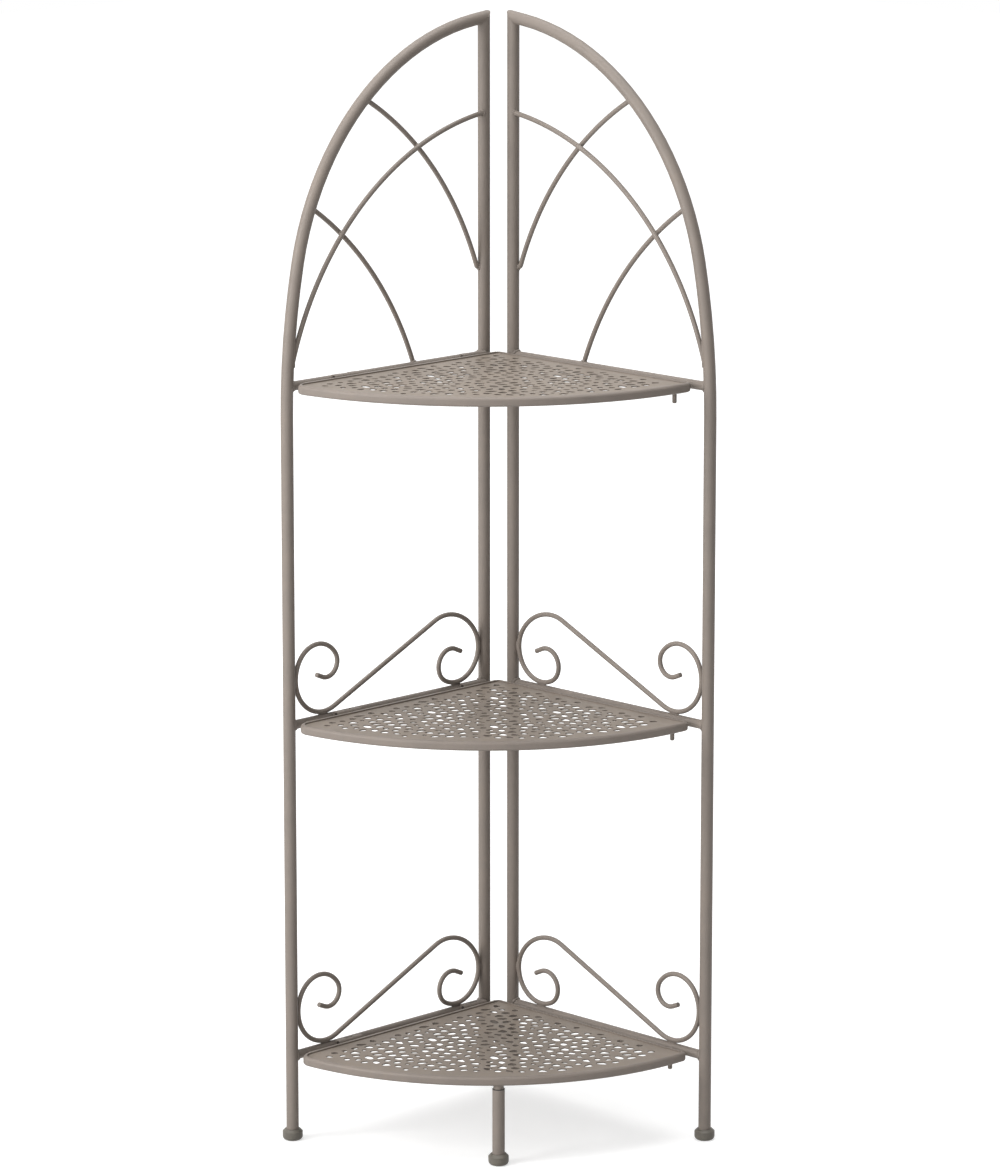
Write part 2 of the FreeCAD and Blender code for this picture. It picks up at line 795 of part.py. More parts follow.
def main():
    nodes = {}
    nodes.update(panel_nodes("left", to_left))
    nodes.update(panel_nodes("right", to_right))
    for level in rail_tops:
        nodes.update(shelf_nodes(level))
    nodes.update(panel_hinge_nodes("upper", "top"))
    nodes.update(panel_hinge_nodes("lower", "bottom"))
    nodes.update(leg_nodes())
    os.makedirs("parts", exist_ok=True)
    for name, shape in nodes.items():
        shape.exportStep(f"parts/{name}.step")
        bounds = shape.BoundBox
        print(name, len(shape.Solids), "solids", round(shape.Volume), "mm3", shape.isValid(),
              [round(v, 1) for v in (bounds.XMin, bounds.XMax, bounds.YMin, bounds.YMax, bounds.ZMin, bounds.ZMax)])
    print(len(nodes), "nodes,", len(hole_spots()), "holes in a sheet")


main()
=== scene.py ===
# %% [markdown]
# # Corner shelf: the dressed scene
#
# A folding corner shelf of bent tube and wire stands on a pale floor. Two arched
# side panels meet at a right angle and carry three quarter-round shelves. This
# script loads the part's frame, gives every piece a painted or moulded finish,
# cuts the pebble-shaped holes in the shelves, and adds the weld beads and a flat
# strip on each rim. Then it sets up the floor, the lights and the camera.
#
# Lengths are in metres and +Z is up. The corner stands at +X +Y, the left panel
# runs along -X from it and the right panel along -Y.

# %% Load the frame
import json
import math

import bpy
import numpy as np
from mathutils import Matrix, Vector
from mathutils.geometry import delaunay_2d_cdt


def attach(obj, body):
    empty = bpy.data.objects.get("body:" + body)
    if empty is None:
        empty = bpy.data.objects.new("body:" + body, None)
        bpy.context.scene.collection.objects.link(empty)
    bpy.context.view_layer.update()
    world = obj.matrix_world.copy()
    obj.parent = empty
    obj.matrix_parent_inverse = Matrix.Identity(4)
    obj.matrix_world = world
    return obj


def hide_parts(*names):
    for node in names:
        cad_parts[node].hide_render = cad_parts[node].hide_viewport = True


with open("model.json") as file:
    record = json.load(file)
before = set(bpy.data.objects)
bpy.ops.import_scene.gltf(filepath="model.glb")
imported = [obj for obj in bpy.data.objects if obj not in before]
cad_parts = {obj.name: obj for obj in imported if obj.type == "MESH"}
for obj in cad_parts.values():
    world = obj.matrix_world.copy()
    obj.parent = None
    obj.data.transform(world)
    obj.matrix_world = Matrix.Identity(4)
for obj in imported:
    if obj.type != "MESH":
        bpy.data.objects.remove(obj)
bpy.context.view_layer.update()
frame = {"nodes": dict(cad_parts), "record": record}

# %% [markdown]
# ## Placing things
#
# Holes and weld beads have to land where the part's metal is. They could be set by
# eye in the viewport, but they would be left behind at the next change of a size.
# So this script repeats the part's own sizes, each where it is first needed, and
# places everything by its distance from the panels.
#
# A panel point has three distances: `u` from the back post towards the front post,
# `n` from the panel's plane towards the shelves, and `z`. A shelf point is `a` from
# the right plane and `b` from the left one. `MM` turns millimetres into metres.

# %% From panel distances to the frame
MM = 0.001
PANEL_WIDTH = 277.0 * MM
POST_SETBACK = 21.2 * MM
CORNER = (PANEL_WIDTH + POST_SETBACK) / 2


def left_point(u, n, z):
    """The left panel runs along -X, and its n points along -Y."""
    return np.stack(np.broadcast_arrays(CORNER - POST_SETBACK - u, CORNER - n, z), -1)


def right_point(u, n, z):
    """The left panel's point with X and Y swapped."""
    return left_point(u, n, z)[..., [1, 0, 2]]


def shelf_point(a, b, z):
    """Distances a and b from the right and left planes, taken off the corner."""
    return np.stack(np.broadcast_arrays(CORNER - a, CORNER - b, z), -1)


print("corner at", round(CORNER, 4), "m")

# %% [markdown]
# ## Finishes
#
# The metal is powder coated in a grey-brown taupe. Powder coat has a fine
# orange-peel surface, a slightly uneven gloss, and a faint mottle where it lies
# thicker. The feet are mottled plastic.
#
# Paint could be a photographed texture wrapped round each tube. That needs every
# piece unwrapped, and it blurs close up. Here each layer is noise in object
# coordinates instead: it needs no unwrapping, is sharp at any distance, and stays
# on the metal when a shelf turns.

# %% Shader helpers
def put(links, value, socket):
    """Sets a socket to a number, or links another socket to it."""
    if isinstance(value, bpy.types.NodeSocket):
        links.new(value, socket)
    else:
        socket.default_value = value


def linked(nodes, links, kind, **inputs):
    """A node whose named inputs are set to numbers, or linked to sockets."""
    node = nodes.new(kind)
    for name, value in inputs.items():
        put(links, value, node.inputs[name.replace("_", " ")])
    return node


def maths(nodes, links, operation, *values):
    """The result of a Math node whose inputs, in their order, are the values."""
    node = nodes.new("ShaderNodeMath")
    node.operation = operation
    for value, socket in zip(values, node.inputs):
        put(links, value, socket)
    return node.outputs["Value"]


def noise(nodes, links, where, scale, detail, roughness=0.55):
    """Fractal noise in object coordinates; scale is in waves for each metre."""
    node = linked(nodes, links, "ShaderNodeTexNoise", Vector=where, Scale=scale,
                  Detail=detail, Roughness=roughness)
    return node.outputs["Fac"]


def stretched(nodes, links, value, source, target):
    """A value moved from the source range to the target range, and kept in it."""
    node = linked(nodes, links, "ShaderNodeMapRange", Value=value, From_Min=source[0],
                  From_Max=source[1], To_Min=target[0], To_Max=target[1])
    return node.outputs["Result"]


def ramp(nodes, links, source, stops):
    """Colours along a 0 to 1 value."""
    node = nodes.new("ShaderNodeValToRGB")
    links.new(source, node.inputs["Fac"])
    while len(node.color_ramp.elements) < len(stops):
        node.color_ramp.elements.new(0.5)
    for element, (place, colour) in zip(node.color_ramp.elements, stops):
        element.position = place
        element.color = (*colour, 1.0)
    return node.outputs["Color"]


def shade(colour, factor):
    """A colour times a factor, held at 1."""
    return tuple(min(1.0, c * factor) for c in colour)


print("taupe at half light:", shade((0.228, 0.195, 0.170), 0.5))

# %% The layers of a paint
NOISE_RANGE = (0.3, 0.7)  # where nearly all of a noise's values lie
# each noise's waves for each metre and its detail
CLOUD, GRAIN, SHEEN, SLOW_SWELL = (38.0, 5.0), (620.0, 3.0), (75.0, 4.0), (210.0, 2.0)
CLOUD_SHARE = 0.7
GRAIN_RANGE = (0.1, 0.2)
WARM_GAINS = (0.9, 0.7, 0.45)
FLAKE_CELLS, FLAKE_LIGHT, FLAKE_EDGE = 1500.0, 1.9, (0.18, 0.05)
PEEL_DETAIL, PEEL_ROUGHNESS, SWELL_SHARE = 2.0, 0.45, 0.7
GLOSS_SPREAD = 0.06
PAINT_IOR = 1.36


def mottled(nodes, links, where, colour, mottle):
    """The colour, darker and warmer in turns, after a cloud with some fine grain."""
    cloud = noise(nodes, links, where, *CLOUD)
    grain = noise(nodes, links, where, *GRAIN)
    fine = stretched(nodes, links, grain, NOISE_RANGE, GRAIN_RANGE)
    blend = maths(nodes, links, "MULTIPLY_ADD", cloud, CLOUD_SHARE, fine)
    warm = tuple(c * (1.0 + mottle * gain) for c, gain in zip(colour, WARM_GAINS))
    stops = [(0.3, shade(colour, 1 - mottle)), (0.5, colour), (0.7, warm)]
    return ramp(nodes, links, blend, stops)


def speckled(nodes, links, where, tint, colour, share):
    """The tint with a light flake at the middle of each Voronoi cell."""
    flake = linked(nodes, links, "ShaderNodeTexVoronoi", Vector=where, Scale=FLAKE_CELLS)
    near = stretched(nodes, links, flake.outputs["Distance"], FLAKE_EDGE, (0.0, share))
    mix = nodes.new("ShaderNodeMix")
    mix.data_type = "RGBA"
    links.new(near, mix.inputs["Factor"])
    links.new(tint, mix.inputs["A"])
    mix.inputs["B"].default_value = (*shade(colour, FLAKE_LIGHT), 1.0)
    return mix.outputs["Result"]


def painted_recess_shade(nodes, links, tint, recess_shade):
    """Painted shade: the tint times 1 less recess_shade where that attribute is 1."""
    depth = nodes.new("ShaderNodeAttribute")
    depth.attribute_name = "recess_shade"
    factor = stretched(nodes, links, depth.outputs["Fac"], (0.0, 1.0), (1.0, 1.0 - recess_shade))
    scaled = nodes.new("ShaderNodeVectorMath")
    scaled.operation = "SCALE"
    links.new(tint, scaled.inputs[0])
    links.new(factor, scaled.inputs["Scale"])
    return scaled.outputs["Vector"]


def peeled(nodes, links, where, depth, waves):
    """A normal with two bumps on it: slow swells, and the orange peel over them."""
    fine = noise(nodes, links, where, waves, PEEL_DETAIL, PEEL_ROUGHNESS)
    slow = noise(nodes, links, where, *SLOW_SWELL)
    first = linked(nodes, links, "ShaderNodeBump", Strength=1.0,
                   Distance=depth * SWELL_SHARE, Height=slow)
    second = linked(nodes, links, "ShaderNodeBump", Strength=1.0, Distance=depth,
                    Height=fine, Normal=first.outputs["Normal"])
    return second.outputs["Normal"]


def painted(name, colour, gloss, mottle=0.10, peel=0.06 * MM, peel_waves=950.0,
            specks=0.0, recess_shade=0.0):
    """Paint: mottled colour, roughness spread about gloss, and orange peel as a bump.
    Painted shade: where a mesh's recess_shade attribute is 1 the colour is darker by
    the recess_shade share."""
    material = bpy.data.materials.new(name)
    material.use_nodes = True
    nodes, links = material.node_tree.nodes, material.node_tree.links
    surface = nodes["Principled BSDF"]
    where = nodes.new("ShaderNodeTexCoord").outputs["Object"]
    tint = mottled(nodes, links, where, colour, mottle)
    if specks:
        tint = speckled(nodes, links, where, tint, colour, specks)
    if recess_shade:
        tint = painted_recess_shade(nodes, links, tint, recess_shade)
    links.new(tint, surface.inputs["Base Color"])
    sheen = noise(nodes, links, where, *SHEEN)
    glosses = (gloss - GLOSS_SPREAD, gloss + GLOSS_SPREAD)
    roughness = stretched(nodes, links, sheen, NOISE_RANGE, glosses)
    links.new(roughness, surface.inputs["Roughness"])
    normal = peeled(nodes, links, where, peel, peel_waves)
    links.new(normal, surface.inputs["Normal"])
    surface.inputs["IOR"].default_value = PAINT_IOR
    return material


print("orange peel goes over swells", round(1 / SLOW_SWELL[0] / MM, 1), "mm long")

# %% The finishes of this shelf
TAUPE = (0.228, 0.195, 0.170)
SHEET_TAUPE = (0.238, 0.197, 0.162)
FOOT_COLOUR = (0.142, 0.130, 0.110)
PLUG_COLOUR = (0.030, 0.029, 0.028)
# the rim strips are lighter than the frame: a painted highlight on their flat tops
WELD_SHADE, PIN_HOLE_SHADOW, STRIP_HIGHLIGHT = (shade(TAUPE, factor) for factor in (0.93, 0.2, 1.3))
FINISHES = {
    "frame_paint": painted("taupe_coat", TAUPE, 0.48, mottle=0.08, specks=0.2),
    # the sheets take painted shade in their holes and by the rim, after recess_shade
    "sheet_paint": painted("taupe_sheet_coat", SHEET_TAUPE, 0.5, mottle=0.09,
                           specks=0.2, recess_shade=0.6),
    # the pins' nearly black paint is painted shade: their ends look like open holes in the
    # knuckles
    "pin_steel": painted("pin_hole_shadow_coat", PIN_HOLE_SHADOW, 0.38, mottle=0.16, peel=0.04 * MM),
    "foot_plastic": painted("foot_plastic", FOOT_COLOUR, 0.4, mottle=0.16,
                            peel=0.12 * MM, peel_waves=700.0),
    "plug_plastic": painted("plug_plastic", PLUG_COLOUR, 0.5, mottle=0.2),
}
weld_coat = painted("taupe_weld_coat", WELD_SHADE, 0.46, mottle=0.14, peel=0.18 * MM,
                    peel_waves=520.0)
strip_highlight_coat = painted("taupe_strip_highlight_coat", STRIP_HIGHLIGHT, 0.46, mottle=0.08)
print("finishes:", sorted(FINISHES), "and two for the scene's own welds and strips")

# %% [markdown]
# ## Painting the carried-over pieces
#
# Posts, rails, wires, rims, hinges and feet come from the part and keep their
# shape. Each could be given its finish by name. But the part's record already names
# a material slot for each, so one table from slots to finishes paints them all.

# %% Paint the nodes
for entry in frame["record"]["subparts"]:
    node = frame["nodes"][entry["node"]]
    node.data.materials.clear()
    node.data.materials.append(FINISHES[entry["material_slot"]])

# %% [markdown]
# ## Pebble holes
#
# The sheets are punched with an irregular pebble pattern. The holes could be drawn
# one by one, which takes long, or cut out where a noise texture is dark, which
# gives ragged holes and an uneven web. Cells round scattered points give both
# rounded holes and an even web.
#
# Points are scattered on a square tile that repeats every 90 mm, and pushed apart
# until they are evenly spread. Each pebble takes the room that its neighbours
# leave: it is the polygon of points nearer to its own seed than to any other, drawn
# in by half the web between two holes. Then it is shrunk by its own share, squashed
# a little along the line from the corner, and rounded.

# %% Scatter the seeds on a repeating tile
TILE = 90.0 * MM
SEED_COUNT = 50
PUSH_ROUNDS = 26
PUSH_REACH = 1.05
PUSH_SHARE = 0.22
PEBBLE_SHARES = (0.62, 1.04)
rng = np.random.default_rng(7)


def spread_seeds(count, rounds):
    """Random points on a torus, pushed apart: each moves off its near neighbours
    by a share of how much they crowd it."""
    seeds = rng.random((count, 2)) * TILE
    reach = TILE / math.sqrt(count)
    for _ in range(rounds):
        gap = seeds[:, None, :] - seeds[None, :, :]
        gap -= TILE * np.round(gap / TILE)
        far = np.linalg.norm(gap, axis=2) + np.eye(count)
        crowd = np.clip(reach * PUSH_REACH - far, 0, None)
        np.fill_diagonal(crowd, 0)
        push = (gap / far[..., None] * crowd[..., None]).sum(1)
        seeds = (seeds + push * PUSH_SHARE) % TILE
    return seeds


seeds = spread_seeds(SEED_COUNT, PUSH_ROUNDS)
seed_sizes = rng.uniform(*PEBBLE_SHARES, SEED_COUNT)
print("seeds on the tile:", len(seeds))

# %% Cut and round a polygon
HOLE_CORNERS = 22
CORNER_CUT = 0.28
CORNER_ROUNDS = 3


def clipped(polygon, normal, limit):
    """The part of a polygon where point . normal <= limit: the corners inside, and on
    each edge that crosses the limit the point side / (side - next side) along it."""
    side = polygon @ normal - limit
    ahead, side_ahead = np.roll(polygon, -1, 0), np.roll(side, -1)
    crosses = ((side < 0) != (side_ahead < 0)) & (side != side_ahead)
    share = side / np.where(crosses, side - side_ahead, 1.0)
    cuts = polygon + (ahead - polygon) * share[:, None]
    kept = np.stack([side <= 0, crosses], 1).reshape(-1)
    return np.stack([polygon, cuts], 1).reshape(-1, 2)[kept]


def rounded(polygon):
    """Cuts every corner, CORNER_CUT of the way along its edges, several times. Then
    takes evenly spaced points along the outline."""
    near = 1 - CORNER_CUT
    for _ in range(CORNER_ROUNDS):
        ahead = np.roll(polygon, -1, 0)
        pair = [polygon * near + ahead * CORNER_CUT, polygon * CORNER_CUT + ahead * near]
        polygon = np.stack(pair, 1).reshape(-1, 2)
    closed = np.vstack([polygon, polygon[:1]])
    run = np.r_[0, np.cumsum(np.linalg.norm(np.diff(closed, axis=0), axis=1))]
    where = np.arange(HOLE_CORNERS) / HOLE_CORNERS * run[-1]
    return np.stack([np.interp(where, run, closed[:, k]) for k in (0, 1)], 1)


print("each hole has", HOLE_CORNERS, "corners")

# %% Turn each seed into a rounded pebble
WEB = 4.2 * MM
CELL_HALF = TILE / 5
PEBBLE_SQUASH = 0.87


def cell(seed):
    """The points nearer to a seed than to any other, less half a web all round. The
    others are all seeds on this tile and on the eight round it."""
    tiles = np.moveaxis(np.indices((3, 3)) - 1, 0, -1) * TILE
    gaps = (seeds[:, None, None] + tiles - seed).reshape(-1, 2)
    distances = np.linalg.norm(gaps, axis=1)
    near = (distances > 0) & (distances <= 2 * CELL_HALF)
    polygon = np.array([(-1, -1), (1, -1), (1, 1), (-1, 1)]) * CELL_HALF
    for gap, distance in zip(gaps[near], distances[near]):
        polygon = clipped(polygon, gap / distance, distance / 2 - WEB / 2)
    return polygon


def pebble(polygon, share):
    """The cell shrunk about its middle, and shortened along the line a = b, which
    runs away from the corner: half of (a + b) times the lost share comes off."""
    middle = polygon.mean(0)
    polygon = (polygon - middle) * share
    polygon = polygon - polygon.sum(1)[:, None] / 2 * (1 - PEBBLE_SQUASH)
    return rounded(middle + polygon)


cells = [cell(seed) for seed in seeds]
tile_pebbles = [(seed, pebble(polygon, share))
                for seed, polygon, share in zip(seeds, cells, seed_sizes)
                if len(polygon) > 2]
widths = [np.ptp(shape, axis=0).mean() / MM for _, shape in tile_pebbles]
print("pebbles:", len(tile_pebbles), "widths from", round(min(widths), 1), "to",
      round(max(widths), 1), "mm")

# %% [markdown]
# ## The shelf's outline
#
# A shelf is a quarter disc whose centre sits a little inside the corner. Its
# outline is two straight edges along the panels and the front arc, with a round at
# each corner. It could be traced over the photograph, but four circles say the same
# with a few sizes, and can be drawn in by any distance for the sheet inside the
# rim.

# %% Outline of a shelf
SHELF_RADIUS = 279.5 * MM
ARC_FROM_LEFT = 7.0 * MM
ARC_FROM_RIGHT = 24.0 * MM
ARC_CENTRE = np.array([ARC_FROM_RIGHT, ARC_FROM_LEFT])
SHELF_GAP = 12.5 * MM
RIM_THICKNESS = 4.0 * MM
TIP_ROUNDS = (6.0 * MM, 15.0 * MM, 7.0 * MM)  # back, left and right
BACK_POINTS, TIP_POINTS, FRONT_POINTS = 7, 10, 90


def arc_points(centre, radius, start, stop, count):
    """Points of a circle: centre + radius times (cos t, sin t)."""
    t = np.linspace(start, stop, count)
    return np.stack([centre[0] + radius * np.cos(t), centre[1] + radius * np.sin(t)], 1)


def shelf_outline(inset):
    """Outline in (a, b), anticlockwise, drawn in by inset.
    A tip's circle touches the straight edge, so its centre is one round away from
    it, and the front arc, so its centre is (radius - round) from the arc's centre."""
    radius = SHELF_RADIUS - inset
    edge = SHELF_GAP + inset
    back, left, right = [size - inset for size in TIP_ROUNDS]
    left_b = edge + left
    reach = math.sqrt((radius - left) ** 2 - (left_b - ARC_CENTRE[1]) ** 2)
    left_centre = np.array([ARC_CENTRE[0] + reach, left_b])
    right_a = edge + right
    reach = math.sqrt((radius - right) ** 2 - (right_a - ARC_CENTRE[0]) ** 2)
    right_centre = np.array([right_a, ARC_CENTRE[1] + reach])
    left_angle = math.atan2(*(left_centre - ARC_CENTRE)[::-1])
    right_angle = math.atan2(*(right_centre - ARC_CENTRE)[::-1])
    back_centre = (edge + back, edge + back)
    return np.vstack([
        arc_points(back_centre, back, math.pi, 1.5 * math.pi, BACK_POINTS),
        arc_points(left_centre, left, -0.5 * math.pi, left_angle, TIP_POINTS),
        arc_points(ARC_CENTRE, radius, left_angle, right_angle, FRONT_POINTS)[1:-1],
        arc_points(right_centre, right, right_angle, math.pi, TIP_POINTS),
    ])


print("outline points:", len(shelf_outline(RIM_THICKNESS)))

# %% [markdown]
# ## The perforated sheets
#
# On the real shelf the holes are punched through sheet steel, and paint rolls
# softly over their edges. A Boolean cut of hundreds of holes is slow and leaves
# long thin faces, and a see-through texture would leave the holes without walls. So
# the flat web between the holes is filled with triangles once, for both faces of
# the sheet.
#
# Each hole then gets a small rolled lip on both faces and an upright wall between
# them. Holes start a plain border away from the edges.

# %% Choose the holes that fit a shelf
BORDER_LEFT = 11.0 * MM
BORDER_RIGHT = 11.0 * MM
BORDER_FRONT = 15.5 * MM
TILES = range(4)


def fits(outline):
    """Whether a hole lies fully inside the plain border."""
    a, b = outline.min(0)
    if a < SHELF_GAP + BORDER_RIGHT or b < SHELF_GAP + BORDER_LEFT:
        return False
    beyond = np.linalg.norm(outline - ARC_CENTRE, axis=1).max()
    return beyond <= SHELF_RADIUS - BORDER_FRONT


placed = [shape + seed + np.array([i, j]) * TILE
          for i in TILES for j in TILES for seed, shape in tile_pebbles]
holes = np.array([outline for outline in placed if fits(outline)])
print("holes in each sheet:", len(holes))

# %% Fill the flat web with triangles
LIP = 0.32 * MM
# the strip inside the rim over which the corner's painted shade fades out
CREVICE_SHADE_WIDTH = 1.1 * MM
INSIDE_LOOPS = 1  # the output kind that keeps only what lies in the given loops
SAME_POINT = 1e-7


def grown(outlines, distance):
    """Outlines moved outwards along their corner normals: each is across the line
    from the corner before to the corner after."""
    along = np.roll(outlines, -1, -2) - np.roll(outlines, 1, -2)
    normal = np.stack([along[..., 1], -along[..., 0]], -1)
    return outlines + normal / np.linalg.norm(normal, axis=-1, keepdims=True) * distance


def flat_web(border, openings):
    """Triangles between a border and the openings in it. Each opening is a face of
    its own in the input, and triangles that lie in one are left out."""
    points, loops = [], []
    for ring in [border, *openings]:
        start = len(points)
        points.extend([Vector(corner) for corner in ring.tolist()])
        loops.append(list(range(start, start + len(ring))))
    corners, _, triangles, corner_sources, _, triangle_sources = delaunay_2d_cdt(
        points, [], loops, INSIDE_LOOPS, SAME_POINT)
    if len(corners) != len(points):
        raise RuntimeError("the web has gained or lost corners")
    back = {i: source[0] for i, source in enumerate(corner_sources) if source}
    return np.array([[back[i] for i in triangle]
                     for triangle, source in zip(triangles, triangle_sources)
                     if list(source) == [0]])


border = shelf_outline(RIM_THICKNESS)
inner_border = shelf_outline(RIM_THICKNESS + CREVICE_SHADE_WIDTH)
lips = grown(holes, LIP)
web = flat_web(inner_border, lips)
print("triangles in one face of the web:", len(web))

# %% Faces from rings of corners
def facing_up(faces, flat):
    """Rows of corner numbers, turned round where the area of their first three
    corners, half of (b - a) x (c - a), isn't positive, so that normals point to +Z."""
    a, b, c = (flat[faces[:, k]] for k in range(3))
    area = (b - a)[:, 0] * (c - a)[:, 1] - (b - a)[:, 1] * (c - a)[:, 0]
    return np.where(area[:, None] > 0, faces, faces[:, ::-1])


def between(rings):
    """Quads between neighbouring rings, given as rows of corner numbers: corner i and
    the next one round of one ring, with the same two of the next ring."""
    upper, lower = rings[..., :-1, :], rings[..., 1:, :]
    quads = [np.roll(upper, -1, -1), np.roll(lower, -1, -1), lower, upper]
    return np.stack(quads, -1).reshape(-1, 4)


def new_piece(name, points, faces, material, smooth=True):
    """A mesh object at the origin. smooth says what is shaded round, for the whole
    mesh or face by face."""
    mesh = bpy.data.meshes.new(name)
    mesh.from_pydata(np.asarray(points).tolist(), [], faces)
    mesh.polygons.foreach_set("use_smooth", np.full(len(faces), smooth, bool))
    mesh.materials.append(material)
    mesh.update()
    obj = bpy.data.objects.new(name, mesh)
    bpy.context.collection.objects.link(obj)
    return obj


print("a row of", len(between(np.arange(8).reshape(2, 4))), "quads joins two rings of 4")

# %% Build the sheets
RAIL_TOPS = {"top": 786.0 * MM, "middle": 439.65 * MM, "bottom": 93.3 * MM}
SHEET_SINK = 1.3 * MM
SHEET_THICKNESS = 1.2 * MM
LIP_BEND = 0.3  # the lip's middle ring, as a share of the lip


def hole_walls(top, low):
    """Four rings for each hole, from the top face down, and their share of painted shade.
    The first and last bend the lip, and the two between them stand upright."""
    bent = grown(holes, LIP * LIP_BEND)
    shapes = np.stack([bent, holes, holes, bent], 1)
    heights = (top - LIP * LIP_BEND, top - LIP, low + LIP, low + LIP * LIP_BEND)
    shade_shares = np.array((LIP_BEND, 1.0, 1.0, LIP_BEND))[:, None]
    points = shelf_point(shapes[..., 0], shapes[..., 1], np.array(heights)[:, None])
    return points.reshape(-1, 3), np.broadcast_to(shade_shares, shapes.shape[:3]).reshape(-1)


def build_sheet(level):
    """Top and bottom web with the strip along the rim, the outer edge, and the walls
    of the holes. recess_shade is a share of painted shade: 1 in the corner under the
    rim and deep in the holes, and 0 on the open faces."""
    top = RAIL_TOPS[level] - SHEET_SINK
    low = top - SHEET_THICKNESS
    rings = np.vstack([inner_border, *lips, border])
    flat = shelf_point(rings[:, 0], rings[:, 1], 0.0)[:, :2]
    count, size = len(flat), len(border)
    walls, wall_shade = hole_walls(top, low)
    points = np.vstack([np.c_[flat, np.full(count, top)],
                        np.c_[flat, np.full(count, low)], walls])
    numbers = np.arange(count)
    # full painted shade on the outer border's points, in the corner under the rim
    rim_corner_shade = (numbers >= count - size).astype(float)
    inner, outer = numbers[:size], numbers[-size:]
    ahead = np.roll(outer, -1)
    strip = np.stack([inner, np.roll(inner, -1), ahead, outer], -1)
    tops = [facing_up(web, flat), facing_up(strip, flat)]
    bottoms = [faces[:, ::-1] + count for faces in tops]
    edge = np.stack([outer + count, ahead + count, ahead, outer], -1)
    lip_numbers = numbers[size:-size].reshape(len(holes), 1, -1)
    wall_numbers = 2 * count + np.arange(len(walls)).reshape(len(holes), 4, -1)
    rings_down = np.concatenate([lip_numbers, wall_numbers, lip_numbers + count], 1)
    wall_faces = between(rings_down)
    faces = [face for part in (*tops, *bottoms, edge, wall_faces) for face in part.tolist()]
    smooth = np.arange(len(faces)) >= 2 * (len(web) + len(strip))
    return points, faces, smooth, np.r_[rim_corner_shade, rim_corner_shade, wall_shade]


for level in RAIL_TOPS:
    points, faces, smooth, recess_shade = build_sheet(level)
    sheet = new_piece(f"{level}_perforated_sheet", points, faces, FINISHES["sheet_paint"],
                      smooth)
    shade_shares = sheet.data.attributes.new("recess_shade", "FLOAT", "POINT")
    shade_shares.data.foreach_set("value", recess_shade)
    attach(sheet, f"{level}_shelf")
    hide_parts(f"{level}_shelf_sheet")
    print(sheet.name, len(faces), "faces")

# %% [markdown]
# ## Where the panel's curves run
#
# The weld beads need the axes of the arch, of the three wires in it and of the
# scrolls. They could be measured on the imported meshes. But all are circles and
# straight runs in the panel's plane, so the sizes give them exactly, in `u` and
# `z`.

# %% The front post and its arch
OVERALL_HEIGHT = 1136.0 * MM
POST_RADIUS = 6.35 * MM
# the arch bends in a low and a high arc, then climbs straight to the mitre
ARCH_LOW_RADIUS = 736.0 * MM
ARCH_LOW_TURN = 12.1  # degrees
ARCH_LAST_RUN = 15.4 * MM
ARCH_END_SLOPE = 6.7  # degrees
MITRE_ROUND = 2.0 * MM


def arch_values():
    """Where the arch's axis meets the post's, its high arc's centre and radius, and
    where its low arc starts. The high arc spans the width that the low arc and the
    last straight run leave."""
    slope = math.radians(ARCH_END_SLOPE)
    low = math.radians(ARCH_LOW_TURN)
    total = math.radians(90 - ARCH_END_SLOPE)
    tip = OVERALL_HEIGHT + MITRE_ROUND * (math.tan(slope) + 1 / math.cos(slope) - 1)
    apex = tip - POST_RADIUS * (1 + math.sin(slope)) / math.cos(slope)
    spent = ARCH_LOW_RADIUS * (1 - math.cos(low)) + ARCH_LAST_RUN * math.sin(total)
    radius = (PANEL_WIDTH - spent) / (math.cos(low) - math.cos(total))
    high_climb = radius * (math.sin(total) - math.sin(low))
    climb = ARCH_LOW_RADIUS * math.sin(low) + high_climb
    start = apex - climb - ARCH_LAST_RUN * math.cos(total)
    shift = ARCH_LOW_RADIUS - radius
    centre_u = PANEL_WIDTH - ARCH_LOW_RADIUS + shift * math.cos(low)
    centre_z = start + shift * math.sin(low)
    return apex, np.array([centre_u, centre_z]), radius, start


APEX, ARCH_CENTRE, ARCH_HIGH_RADIUS, ARCH_START = arch_values()


def front_heading(z):
    """Heading (u, z) of the front post's axis at a height on its upright or its low
    arc: across the arc's radius."""
    rise = max(z - ARCH_START, 0.0)
    return -rise, math.sqrt(ARCH_LOW_RADIUS ** 2 - rise ** 2)


def front_place(z):
    """The front post's axis at such a height: u = the low arc's centre plus
    sqrt(r^2 - rise^2)."""
    return PANEL_WIDTH - ARCH_LOW_RADIUS + front_heading(z)[1]


def arch_spot(share):
    """The arch's axis at a share of the panel's width: z = centre + sqrt(r^2 - du^2)."""
    u = share * PANEL_WIDTH
    over = math.sqrt(ARCH_HIGH_RADIUS ** 2 - (u - ARCH_CENTRE[0]) ** 2)
    return np.array([u, ARCH_CENTRE[1] + over])


print("arch centre", np.round(ARCH_CENTRE / MM, 1), "apex", round(APEX / MM, 1))

# %% The three wires in the arch
RAIL_RADIUS = 4.75 * MM
WIRE_RADIUS = 2.5 * MM
HIGH_WIRE = {"reach": 8.6 * MM, "rise": 89.3 * MM, "hook": 3.5 * MM,
             "arch_share": 0.605, "radius": 348.5 * MM}
LONG_WIRE = {"rise": 246.6 * MM, "radius": 325.0 * MM}
LOW_WIRE = {"rail_share": 0.354, "arch_share": 0.877, "radius": 352.3 * MM}


def wire_circle(start, end, radius):
    """Centre of the circle through two points that bows upwards: half way between
    them, then sqrt(r^2 - half chord^2) down across the chord."""
    chord = end - start
    half = np.linalg.norm(chord) / 2
    across = np.array([chord[1], -chord[0]]) / (2 * half)
    if across[1] < 0:
        across = -across
    return (start + end) / 2 - across * math.sqrt(radius ** 2 - half ** 2)


RAIL_TOP = RAIL_TOPS["top"]
RAIL_AXIS = RAIL_TOP - RAIL_RADIUS
